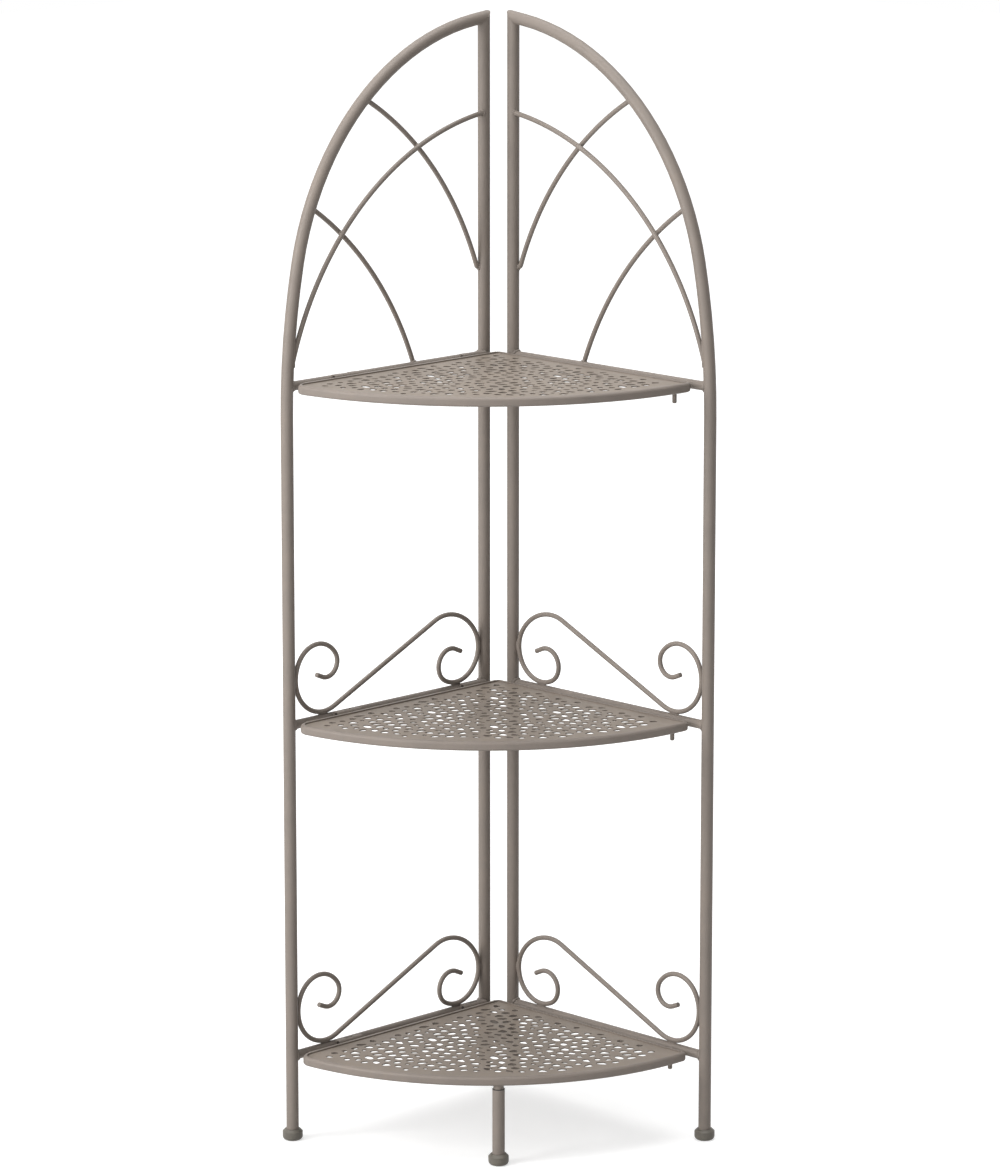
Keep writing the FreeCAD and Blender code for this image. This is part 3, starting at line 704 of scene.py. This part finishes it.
# each wire's start and end (u, z), its radius, and its n, before or behind the panel
WIRES = {
    "high": (np.array([HIGH_WIRE["reach"], RAIL_TOP + HIGH_WIRE["rise"]]),
             arch_spot(HIGH_WIRE["arch_share"]), HIGH_WIRE["radius"], -WIRE_RADIUS),
    "long": (np.array([0.0, RAIL_TOP + LONG_WIRE["rise"]]),
             np.array([front_place(RAIL_TOP), RAIL_TOP]), LONG_WIRE["radius"], WIRE_RADIUS),
    "low": (np.array([LOW_WIRE["rail_share"] * PANEL_WIDTH, RAIL_AXIS]),
            arch_spot(LOW_WIRE["arch_share"]), LOW_WIRE["radius"], -WIRE_RADIUS),
}
CENTRES = {name: wire_circle(start, end, radius)
           for name, (start, end, radius, _) in WIRES.items()}
print("wires:", sorted(WIRES))

# %% Where the curves meet
def circles_meet(first, second, near):
    """The meeting point of two wires' circles that lies nearest to a guess. It is
    along from the first centre towards the second, and off across that line."""
    c0, r0, c1, r1 = CENTRES[first], WIRES[first][2], CENTRES[second], WIRES[second][2]
    gap = c1 - c0
    d = np.linalg.norm(gap)
    along = (d * d + r0 * r0 - r1 * r1) / (2 * d)
    off = math.sqrt(r0 * r0 - along * along)
    base = c0 + gap / d * along
    across = np.array([-gap[1], gap[0]]) / d
    spots = [base + across * off, base - across * off]
    return min(spots, key=lambda p: np.linalg.norm(p - np.asarray(near)))


def wire_heading(name, spot):
    """Unit tangent of a wire at a spot: across its radius, towards +u."""
    out = spot - CENTRES[name]
    along = np.array([out[1], -out[0]]) / np.linalg.norm(out)
    return along if along[0] > 0 else -along


HIGH_LONG_GUESS = (100.0 * MM, 1004.0 * MM)
LONG_LOW_GUESS = (200.0 * MM, 927.0 * MM)
CROSSINGS = [("high", "long", circles_meet("high", "long", HIGH_LONG_GUESS)),
             ("long", "low", circles_meet("long", "low", LONG_LOW_GUESS))]
FRONT_CURL_RADIUS = 37.4 * MM
BACK_CURL_RADIUS = 33.0 * MM
SEAM_GAP = 0.2 * MM
INNER = POST_RADIUS + WIRE_RADIUS + SEAM_GAP
FRONT_TOUCH_U = PANEL_WIDTH - INNER - FRONT_CURL_RADIUS
BACK_TOUCH_U = INNER + BACK_CURL_RADIUS
print("wires cross at", [np.round(c[2] / MM, 1).tolist() for c in CROSSINGS])
print("scrolls touch the rails at u =", round(FRONT_TOUCH_U / MM, 1),
      round(BACK_TOUCH_U / MM, 1), "mm")

# %% [markdown]
# ## Weld beads
#
# Each joint of the frame has a small, slightly uneven weld. A torus round each
# joint would be quick, but it doesn't follow the saddle in which one round bar
# meets another. So the seam itself is worked out, and a round profile is carried
# along it.
#
# A point of the bar's surface is its axis point plus its radius across, and the
# seam lies where that line, run along the bar, meets the tube. Where wires only
# touch, the weld is a small flat blob.

# %% Round beads
def around(count):
    """Evenly spread angles of one full turn."""
    return np.arange(count) / count * 2 * math.pi


FIRST_GUESS = np.array([0.31, 0.52, 0.79])  # any direction that no path starts along
END_START, END_RUN = 0.35, 3.0  # an open bead's ends taper over three points
SWELLS = ((0.6, 5, 0.7), (0.4, 11, 0.0))  # share, waves round the bead, and shift


def ring_axes(along, closed):
    """Unit vectors across and up at each point of a path. The one across is the one
    before it, less its share along the path, so that the rings don't twist."""
    count = len(along)
    across = np.zeros_like(along)
    guess = FIRST_GUESS
    for i in range(count):
        guess = guess - along[i] * guess.dot(along[i])
        guess /= np.linalg.norm(guess)
        across[i] = guess
    if closed:
        # spread the twist that is left after one round over the whole loop
        last = across[-1] - along[0] * across[-1].dot(along[0])
        off = np.cross(across[0], last).dot(along[0])
        twist = math.atan2(off, across[0].dot(last))
        turn = -twist * np.arange(count) / count
        up = np.cross(along, across)
        across = across * np.cos(turn)[:, None] + up * np.sin(turn)[:, None]
    return across, np.cross(along, across)


def bead(path, radius, sides=10, closed=True, ripple=0.0):
    """A round bead along a path: point + radius times (cos t across + sin t up). The
    radius swells by ripple times a sum of two sines, as a hand-laid weld does, and
    the ends of an open bead taper with the square root of the points left."""
    path = np.asarray(path, float)
    count = len(path)
    if closed:
        along = np.roll(path, -1, 0) - np.roll(path, 1, 0)
    else:
        along = np.gradient(path, axis=0)
    along /= np.linalg.norm(along, axis=1)[:, None]
    across, up = ring_axes(along, closed)
    step = around(count)
    swell = sum(share * np.sin(waves * step + shift) for share, waves, shift in SWELLS)
    size = radius * (1 + ripple * swell)
    if not closed:
        ends = np.minimum(np.arange(count), np.arange(count)[::-1])
        size = size * np.sqrt(np.clip((ends + END_START) / END_RUN, 0, 1))
    t = around(sides)[None, :, None]
    ring = np.cos(t) * across[:, None, :] + np.sin(t) * up[:, None, :]
    points = (path[:, None, :] + size[:, None, None] * ring).reshape(-1, 3)
    i, k = np.indices((count if closed else count - 1, sides))
    j, m = (i + 1) % count, (k + 1) % sides
    quads = np.stack([i * sides + k, i * sides + m, j * sides + m, j * sides + k], -1)
    faces = quads.reshape(-1, 4).tolist()
    if not closed:
        last = (count - 1) * sides
        faces += [list(range(sides))[::-1], list(range(last, last + sides))]
    return points, faces


def gather(parts):
    """Several (points, faces) pairs as one pair, with the face numbers moved on."""
    points, faces, start = [], [], 0
    for part_points, part_faces in parts:
        points.append(part_points)
        faces.extend([[i + start for i in face] for face in part_faces])
        start += len(part_points)
    return np.vstack(points), faces


print("a ring of a bead has", len(bead([(0, 0, 0), (0, 0, 1)], 1.0, closed=False)[0]) // 2,
      "corners")

# %% Blobs
def blob(centre, long_axis, flat_axis, radii, rings=7, sides=12):
    """A closed ellipsoid: centre + long cos v + (side cos t + flat sin t) sin v.
    radii are its half lengths along the long, the flat and the side axis."""
    long_radius, flat_radius, side_radius = radii
    centre = np.asarray(centre)
    long_axis = np.asarray(long_axis, float) / np.linalg.norm(long_axis)
    flat_axis = np.asarray(flat_axis, float)
    flat_axis = flat_axis - long_axis * flat_axis.dot(long_axis)
    flat_axis /= np.linalg.norm(flat_axis)
    side_axis = np.cross(flat_axis, long_axis)
    t = around(sides)[:, None]
    oval = side_radius * np.cos(t) * side_axis + flat_radius * np.sin(t) * flat_axis
    v = (np.arange(1, rings + 1) / (rings + 1) * math.pi)[:, None, None]
    tip = long_axis * long_radius
    grid = centre + tip * np.cos(v) + oval * np.sin(v)
    points = np.vstack([centre + tip, grid.reshape(-1, 3), centre - tip])
    last = len(points) - 1
    faces = []
    for k in range(sides):
        m = (k + 1) % sides
        faces.append((0, 1 + k, 1 + m))
        for r in range(rings - 1):
            low, high = 1 + r * sides, 1 + (r + 1) * sides
            faces.append((low + k, high + k, high + m, low + m))
        faces.append((last, 1 + (rings - 1) * sides + m, 1 + (rings - 1) * sides + k))
    return points, faces


UP = np.array([0.0, 0.0, 1.0])
print("a blob has", len(blob((0, 0, 0), UP, (1, 0, 0), (1.0, 1.0, 1.0))[0]), "corners")

# %% Seam of a bar on a tube
WELD = 1.75 * MM
SMALL_WELD = 1.1 * MM
SEAM_RIPPLE, ROUGH_RIPPLE = 0.22, 0.3


def seam(end, direction, radius, tube_point, tube_axis, tube_radius, count=28):
    """Closed seam of a bar on a tube. Along the bar the distance t solves
    |(p + t d) across the tube's axis| = tube radius, and the smaller t is taken."""
    direction = np.asarray(direction, float) / np.linalg.norm(direction)
    tube_axis = np.asarray(tube_axis, float) / np.linalg.norm(tube_axis)
    first = np.cross(direction, (0.0, 0.0, 1.0))
    if np.linalg.norm(first) < 0.1:  # the bar is nearly upright
        first = np.cross(direction, (1.0, 0.0, 0.0))
    first /= np.linalg.norm(first)
    second = np.cross(direction, first)
    t = around(count)[:, None]
    skin = np.asarray(end) + radius * (np.cos(t) * first + np.sin(t) * second)
    away = skin - np.asarray(tube_point)
    away = away - np.outer(away @ tube_axis, tube_axis)
    d = direction - tube_axis * direction.dot(tube_axis)
    a = d.dot(d)
    b = 2 * away @ d
    c = (away ** 2).sum(1) - tube_radius ** 2
    root = np.sqrt(np.clip(b * b - 4 * a * c, 0, None))
    far = (-b - root) / (2 * a)
    return skin + far[:, None] * direction


def seam_bead(end, direction, radius, tube_point, tube_axis, tube_radius, weld):
    """A weld bead along such a seam."""
    line = seam(end, direction, radius, tube_point, tube_axis, tube_radius)
    return bead(line, weld, ripple=SEAM_RIPPLE)


def heading(place, du, dz):
    """A direction (du, dz) in the panel's plane as a vector of the frame."""
    return place(du, 0.0, dz) - place(0.0, 0.0, 0.0)


across_seam = seam((0, 0, 0), (1, 0, 0), 1.0, (9, 0, 0), (0, 0, 1), 2.0)
print("a seam's saddle is", round(np.ptp(across_seam[:, 0]), 3), "bar radii deep")

# %% Beads at the ends of rails and wires
BACKOFF = 20 * MM  # a seam is looked for from this far inside the bar


def rail_seams(place):
    """Both ends of the three rails."""
    beads = []
    forth = heading(place, 1.0, 0.0)
    for top in RAIL_TOPS.values():
        z = top - RAIL_RADIUS
        middle = place(PANEL_WIDTH / 2, 0.0, z)
        front, climb = place(front_place(z), 0.0, z), heading(place, *front_heading(z))
        beads.append(seam_bead(middle, -forth, RAIL_RADIUS, place(0.0, 0.0, z), UP,
                               POST_RADIUS, WELD))
        beads.append(seam_bead(middle, forth, RAIL_RADIUS, front, climb, POST_RADIUS, WELD))
    return beads


def wire_end(place, spot, n, outward, tube_point, tube_axis, tube_radius):
    """The bead at one end of a wire, which runs outwards into the tube."""
    start = place(spot[0], n, spot[1]) - outward * BACKOFF
    return seam_bead(start, outward, WIRE_RADIUS, tube_point, tube_axis, tube_radius,
                     SMALL_WELD)


def wire_seams(place):
    """Both ends of the three wires. The low one starts on the top rail, the others on
    the back post. The long one ends on the post's low arc, the others on the arch."""
    beads = []
    for name, (start, end, _, n) in WIRES.items():
        back_out = -wire_heading(name, start)
        if name == "high":
            # the hook turns level just before the post
            drop = HIGH_WIRE["hook"] * (1 - abs(back_out[0]))
            back_out = np.array([-1.0, 0.0])
            start = np.array([0.0, start[1] - drop])
        tube = (place(0.0, 0.0, 0.0), UP, POST_RADIUS)
        if name == "low":
            tube = (place(0.0, 0.0, RAIL_AXIS), heading(place, 1.0, 0.0), RAIL_RADIUS)
        beads.append(wire_end(place, start, n, heading(place, *back_out), *tube))
        off = end - ARCH_CENTRE
        climb = front_heading(end[1]) if name == "long" else (-off[1], off[0])
        tube = (place(end[0], 0.0, end[1]), heading(place, *climb), POST_RADIUS)
        front_out = wire_heading(name, end)
        beads.append(wire_end(place, end, n, heading(place, *front_out), *tube))
    return beads


print("seams for", len(RAIL_TOPS), "rails and", len(WIRES), "wires of each panel")

# %% Blobs where wires touch, and the mitre
# half lengths of a blob: along its line, off the metal and across
CROSSING_BLOB = (3.4 * MM, 1.5 * MM, 2.2 * MM)
RAIL_BLOB = (6.5 * MM, 1.3 * MM, 1.9 * MM)
POST_BLOB = (6.0 * MM, 1.3 * MM, 1.9 * MM)
RAIL_BLOB_LIFT = 0.3 * MM
MITRE_BEAD = 0.35 * MM
MITRE_SPAN = 2.55  # radians to each side of the inner corner
MITRE_POINTS = 48


def touch_blobs(place):
    """Blobs at the wires' crossings and where a scroll touches its rail and posts."""
    beads = []
    forth = heading(place, 1.0, 0.0)
    inward = place(0.0, 1.0, 0.0) - place(0.0, 0.0, 0.0)
    for first, second, (u, z) in CROSSINGS:
        spot = np.array([u, z])
        along = wire_heading(first, spot) + wire_heading(second, spot)
        across = heading(place, *along)
        beads.append(blob(place(u, 0.0, z), across, inward, CROSSING_BLOB))
    for level in ("middle", "bottom"):
        top = RAIL_TOPS[level]
        for u in (FRONT_TOUCH_U, BACK_TOUCH_U):
            beads.append(blob(place(u, 0.0, top + RAIL_BLOB_LIFT), forth, UP, RAIL_BLOB))
        touch_z = top + WIRE_RADIUS + SEAM_GAP
        side = POST_RADIUS + SEAM_GAP / 2
        for u, z in ((PANEL_WIDTH - side, touch_z + FRONT_CURL_RADIUS),
                     (side, touch_z + BACK_CURL_RADIUS)):
            beads.append(blob(place(u, 0.0, z), UP, forth, POST_BLOB))
    return beads


def mitre_bead(place):
    """The ground mitre: most of the ellipse in which it cuts the tube, open at the
    rounded outer corner. cos t runs along the cut and sin t across the panel."""
    slope = math.radians(ARCH_END_SLOPE)
    t = np.linspace(-MITRE_SPAN, MITRE_SPAN, MITRE_POINTS)
    split = np.array([math.cos(slope), -math.sin(slope) - 1.0])
    reach = POST_RADIUS / abs(split[0]) * np.cos(t)
    path = place(reach * split[0], POST_RADIUS * np.sin(t), APEX + reach * split[1])
    return bead(path, MITRE_BEAD, closed=False, ripple=ROUGH_RIPPLE)


print("blobs at", len(CROSSINGS), "crossings of each panel")

# %% Beads of the panel hinges, and the panels' pieces
PANEL_HINGE_DROP = 14.0 * MM
PANEL_HINGE_HEIGHT = 30.0 * MM
PANEL_LEAF_HALF = 1.25 * MM
UPRIGHT_POINTS = 14
UPRIGHT_RIPPLE = 0.25
HINGE_BEAD = 0.9 * MM
HINGE_BEAD_OFF, HINGE_BEAD_INSET = 0.2 * MM, 0.5 * MM
HINGE_BEAD_SIDE = 1.4 * PANEL_LEAF_HALF


def upright_bead(point, low, high, radius):
    """A straight weld bead from z = low to z = high above a point's x and y."""
    z = np.linspace(low, high, UPRIGHT_POINTS)
    path = np.stack(np.broadcast_arrays(point[0], point[1], z), -1)
    return bead(path, radius, closed=False, ripple=UPRIGHT_RIPPLE)


def hinge_welds(place):
    """Beads down both sides of each panel hinge leaf, where it meets its back post."""
    beads = []
    flank = math.sqrt(POST_RADIUS ** 2 - PANEL_LEAF_HALF ** 2)
    for level in ("top", "bottom"):
        high = RAIL_TOPS[level] - PANEL_HINGE_DROP
        low = high - PANEL_HINGE_HEIGHT
        for side in (-1, 1):
            point = place(side * HINGE_BEAD_SIDE, flank + HINGE_BEAD_OFF, 0.0)
            beads.append(upright_bead(point, low + HINGE_BEAD_INSET,
                                      high - HINGE_BEAD_INSET, HINGE_BEAD))
    return beads


def weld_piece(name, beads):
    """Several beads, each as (points, faces), as one piece."""
    points, faces = gather(beads)
    return new_piece(name, points, faces, weld_coat)


for side, place in (("left", left_point), ("right", right_point)):
    beads = rail_seams(place) + wire_seams(place) + touch_blobs(place)
    beads += [mitre_bead(place)] + hinge_welds(place)
    piece = weld_piece(f"{side}_panel_welds", beads)
    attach(piece, "frame")
    print(piece.name, len(beads), "beads")

# %% [markdown]
# ## Small welds and strips at the shelves
#
# The fixed hinge leaves and the catch loops are welded to the rails, so their beads
# stay with the panels. The lock pins, the moving leaves and the leg's stub are
# welded to the shelves, so theirs turn with them. They could be part of one mesh
# with the metal, but then they couldn't have the duller look of a weld.
#
# In the photograph a light line runs along the top of each rim on the left. The rim
# is bent flat bar, and there its top is flatter than the part's rounded one.
# Changing the part's mesh isn't allowed here, so a thin strip of the same paint, a little
# lighter, lies on it.
# The strip's lighter paint is a painted highlight of the light that catches the flat top.

# %% Small beads
HINGE_PLACES = (23.5 * MM, PANEL_WIDTH - 73.5 * MM)
HINGE_LENGTH = 33.0 * MM
LEAF_BOTTOM = 8.2 * MM
LOCK_PLACE = PANEL_WIDTH - 39.0 * MM
LOCK_RADIUS = 2.3 * MM
LOOP_BEND = 7.0 * MM
RIM_HEIGHT = 9.2 * MM
LEG_INSIDE_ARC = 7.0 * MM
STUB_RADIUS = 5.3 * MM
LEAF_BEAD, PIN_BEAD, STUB_BEAD = 0.6 * MM, 0.7 * MM, 1.2 * MM
FIXED_LEAF_OFF, FIXED_LEAF_RUN = 0.3 * MM, 4.0 * MM
LOOP_BLOB = (4.2 * MM, 1.5 * MM, 2.7 * MM)
LOOP_BLOB_OFF = 1.2 * MM
# beads on the rim: how far in front of its face, above its foot and below its top
LEAF_OFF, LEAF_FOOT, LEAF_HEAD = 0.4 * MM, 1.0 * MM, 3.6 * MM
PIN_OFF, PIN_FOOT, PIN_HEAD = 0.1 * MM, 2.0 * MM, 3.0 * MM
PIN_SIDE = 0.95 * LOCK_RADIUS
STUB_OFF, STUB_LIFT, STUB_POINTS = 0.2 * MM, 0.6 * MM, 26


def leaf_beads(n, low, high):
    """Upright beads at both ends of a shelf's two hinge leaves, n off the panel."""
    return [upright_bead(left_point(middle + side * HINGE_LENGTH / 2, n, 0.0), low, high,
                         LEAF_BEAD)
            for middle in HINGE_PLACES for side in (-1, 1)]


def rail_beads(level):
    """Both ends of the two fixed leaves, and both legs of the catch loop."""
    top = RAIL_TOPS[level]
    low = top - LEAF_BOTTOM
    beads = leaf_beads(RAIL_RADIUS + FIXED_LEAF_OFF, low, low + FIXED_LEAF_RUN)
    for side in (-1, 1):
        u = LOCK_PLACE + side * LOOP_BEND
        centre = right_point(u, LOOP_BLOB_OFF, top - 2 * RAIL_RADIUS)
        beads.append(blob(centre, (1.0, 0.0, 0.0), UP, LOOP_BLOB))
    return beads


def shelf_beads(level):
    """Ends of the moving leaves and the sides of the lock pin, on the rim's face."""
    top = RAIL_TOPS[level]
    beads = leaf_beads(SHELF_GAP - LEAF_OFF, top - LEAF_BOTTOM + LEAF_FOOT, top - LEAF_HEAD)
    for side in (-1, 1):
        b = POST_SETBACK + LOCK_PLACE + side * PIN_SIDE
        point = shelf_point(SHELF_GAP - PIN_OFF, b, 0.0)
        beads.append(upright_bead(point, top - RIM_HEIGHT + PIN_FOOT, top - PIN_HEAD,
                                  PIN_BEAD))
    return beads


def stub_beads():
    """A ring round the leg's stub where it comes out under the rim. The leg is as far
    from both panels: middle + sqrt(reach^2 / 2 - off^2) from each."""
    off = (ARC_FROM_RIGHT - ARC_FROM_LEFT) / 2
    reach = SHELF_RADIUS - LEG_INSIDE_ARC
    away = (ARC_FROM_RIGHT + ARC_FROM_LEFT) / 2 + math.sqrt(reach ** 2 / 2 - off ** 2)
    t = around(STUB_POINTS)
    radius = STUB_RADIUS + STUB_OFF
    ring = shelf_point(away + radius * np.cos(t), away + radius * np.sin(t),
                       RAIL_TOPS["bottom"] - RIM_HEIGHT + STUB_LIFT)
    return [bead(ring, STUB_BEAD, ripple=ROUGH_RIPPLE)]


print("small beads for", len(HINGE_PLACES), "hinges on each shelf")

# %% Flat strips on the rims
# the strip's section: in from the rim's face, and down from its top
STRIP_PROFILE = np.array([
    (0.25, 2.2), (0.25, 1.0), (0.45, 0.45), (1.0, 0.05),
    (3.98, 0.02), (3.98, 0.7), (2.2, 1.2), (1.2, 2.2),
]) * MM
ON_EDGE = 0.01 * MM


def edge_strip(level):
    """The flat top of the rim's left edge: the same profile at both ends of the
    straight edge, joined by quads and closed by the two end faces."""
    line = shelf_outline(0.0)
    ends = line[line[:, 1] < SHELF_GAP + ON_EDGE, 0]
    rows = [shelf_point(a, SHELF_GAP + STRIP_PROFILE[:, 0],
                        RAIL_TOPS[level] - STRIP_PROFILE[:, 1])
            for a in (ends.max(), ends.min())]
    size = len(STRIP_PROFILE)
    sides = [(k, (k + 1) % size, (k + 1) % size + size, k + size) for k in range(size)]
    caps = [tuple(range(size))[::-1], tuple(range(size, 2 * size))]
    return np.vstack(rows), sides + caps


for level in RAIL_TOPS:
    points, faces = edge_strip(level)
    # the strip's lighter paint is a painted highlight
    piece = new_piece(f"{level}_rim_strip", points, faces, strip_highlight_coat, smooth=False)
    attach(piece, f"{level}_shelf")
    piece = weld_piece(f"{level}_rail_beads", rail_beads(level))
    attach(piece, "frame")
    beads = shelf_beads(level) + (stub_beads() if level == "bottom" else [])
    piece = weld_piece(f"{level}_shelf_beads", beads)
    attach(piece, f"{level}_shelf")
print("strips and small beads laid on", len(RAIL_TOPS), "shelves")

# %% [markdown]
# ## Floor, light and camera
#
# The floor is a wide pale sheet. A white background could come from more light, but
# that would bleach the metal. So rays from the camera see the sky and the floor as
# white through Light Path, while other rays see a dim sky, and the contact shadows
# under the feet stay.
#
# One lamp could light the shelf, but thin tubes then get hard edges. Three soft
# panels are used: the key light on the left, a large one above, and a weak one
# between the key light and the camera. The camera's place, tilt and lens were
# worked out from the photograph together with the sizes.

# %% Floor
FLOOR_HALF = 9.0
FLOOR_GREY = 0.6
GLOW_REACH = (0.3, 2.5)
GLOW_SHARES = (0.6, 1.0)


def shown_share(nodes, links):
    """1 on rays from the camera, on mirrored rays and on rays through glass, else 0."""
    rays = nodes.new("ShaderNodeLightPath").outputs
    seen = maths(nodes, links, "MAXIMUM", rays["Is Camera Ray"], rays["Is Glossy Ray"])
    return maths(nodes, links, "MAXIMUM", seen, rays["Is Transmission Ray"])


def pale_floor():
    """Matt grey, which glows for the camera: less near the shelf, where the contact
    shadows are, and fully white further out."""
    pale = bpy.data.materials.new("pale_floor")
    pale.use_nodes = True
    nodes, links = pale.node_tree.nodes, pale.node_tree.links
    matt = nodes["Principled BSDF"]
    matt.inputs["Base Color"].default_value = (FLOOR_GREY, FLOOR_GREY, FLOOR_GREY, 1.0)
    matt.inputs["Roughness"].default_value = 0.9
    matt.inputs["Emission Color"].default_value = (1.0, 1.0, 1.0, 1.0)
    where = nodes.new("ShaderNodeTexCoord").outputs["Object"]
    far = linked(nodes, links, "ShaderNodeVectorMath", Vector=where)
    far.operation = "LENGTH"
    glow = stretched(nodes, links, far.outputs["Value"], GLOW_REACH, GLOW_SHARES)
    lift = maths(nodes, links, "MULTIPLY", shown_share(nodes, links), glow)
    links.new(lift, matt.inputs["Emission Strength"])
    return pale


floor_corners = np.array([(-1, -1, 0), (1, -1, 0), (1, 1, 0), (-1, 1, 0)]) * FLOOR_HALF
floor = new_piece("floor", floor_corners, [(0, 1, 2, 3)], pale_floor(), smooth=False)
print("floor", 2 * FLOOR_HALF, "m wide")

# %% Sky
SKY_LIGHT = 0.14
SKY_SEEN = 1.0
WHITE = (1.0, 1.0, 1.0, 1.0)
world = bpy.data.worlds.new("studio")
bpy.context.scene.world = world
world.use_nodes = True
nodes, links = world.node_tree.nodes, world.node_tree.links
nodes.clear()
lit = linked(nodes, links, "ShaderNodeBackground", Color=WHITE, Strength=SKY_LIGHT)
seen = linked(nodes, links, "ShaderNodeBackground", Color=WHITE, Strength=SKY_SEEN)
mix = nodes.new("ShaderNodeMixShader")
out = nodes.new("ShaderNodeOutputWorld")
links.new(shown_share(nodes, links), mix.inputs[0])
links.new(lit.outputs[0], mix.inputs[1])
links.new(seen.outputs[0], mix.inputs[2])
links.new(mix.outputs[0], out.inputs["Surface"])
print("sky lights at", SKY_LIGHT, "and is seen at", SKY_SEEN)

# %% Lights
def soft_panel(name, place, target, width, height, watts):
    """A rectangular lamp that faces its target."""
    lamp = bpy.data.lights.new(name, "AREA")
    lamp.shape = "RECTANGLE"
    lamp.size = width
    lamp.size_y = height
    lamp.energy = watts
    obj = bpy.data.objects.new(name, lamp)
    bpy.context.collection.objects.link(obj)
    obj.location = place
    facing = Vector(target) - Vector(place)
    obj.rotation_euler = facing.to_track_quat("-Z", "Y").to_euler()
    print(name, watts, "W")


# camera-left is -X +Y and away from the camera is +X +Y
soft_panel("key_light", place=(-2.9, 0.9, 1.9), target=(0.0, 0.0, 0.6),
           width=1.6, height=2.4, watts=98.0)
soft_panel("top_light", place=(0.1, 0.1, 4.6), target=(0.0, 0.0, 0.5),
           width=3.8, height=3.8, watts=170.0)
soft_panel("fill_light", place=(-2.9, -1.2, 1.4), target=(0.0, 0.0, 0.6),
           width=2.0, height=2.4, watts=30.0)

# %% Camera
CAMERA_LENS = 195.02
SENSOR_WIDTH = 36.0
CAMERA_TILT = 11.873  # degrees below level
CAMERA_TURN = -45.0  # degrees, half way between the panels
CAMERA_SHIFT = 1.016 * MM
CAMERA_AWAY = 3896.2 * MM
CAMERA_HEIGHT = 1698.3 * MM
CLIP_END = 60.0
BACK_MIDDLE = CORNER - POST_SETBACK / 2
camera_data = bpy.data.cameras.new("camera")
camera_data.lens = CAMERA_LENS
camera_data.sensor_width = SENSOR_WIDTH
camera_data.sensor_fit = "HORIZONTAL"
camera_data.clip_end = CLIP_END
camera = bpy.data.objects.new("camera", camera_data)
bpy.context.collection.objects.link(camera)
camera.location = (BACK_MIDDLE + CAMERA_SHIFT - CAMERA_AWAY,
                   BACK_MIDDLE - CAMERA_SHIFT - CAMERA_AWAY, CAMERA_HEIGHT)
camera.rotation_euler = (math.radians(90 - CAMERA_TILT), 0.0, math.radians(CAMERA_TURN))
bpy.context.scene.camera = camera
bpy.context.scene.view_settings.view_transform = "Standard"
print("camera at", [round(v, 3) for v in camera.location])
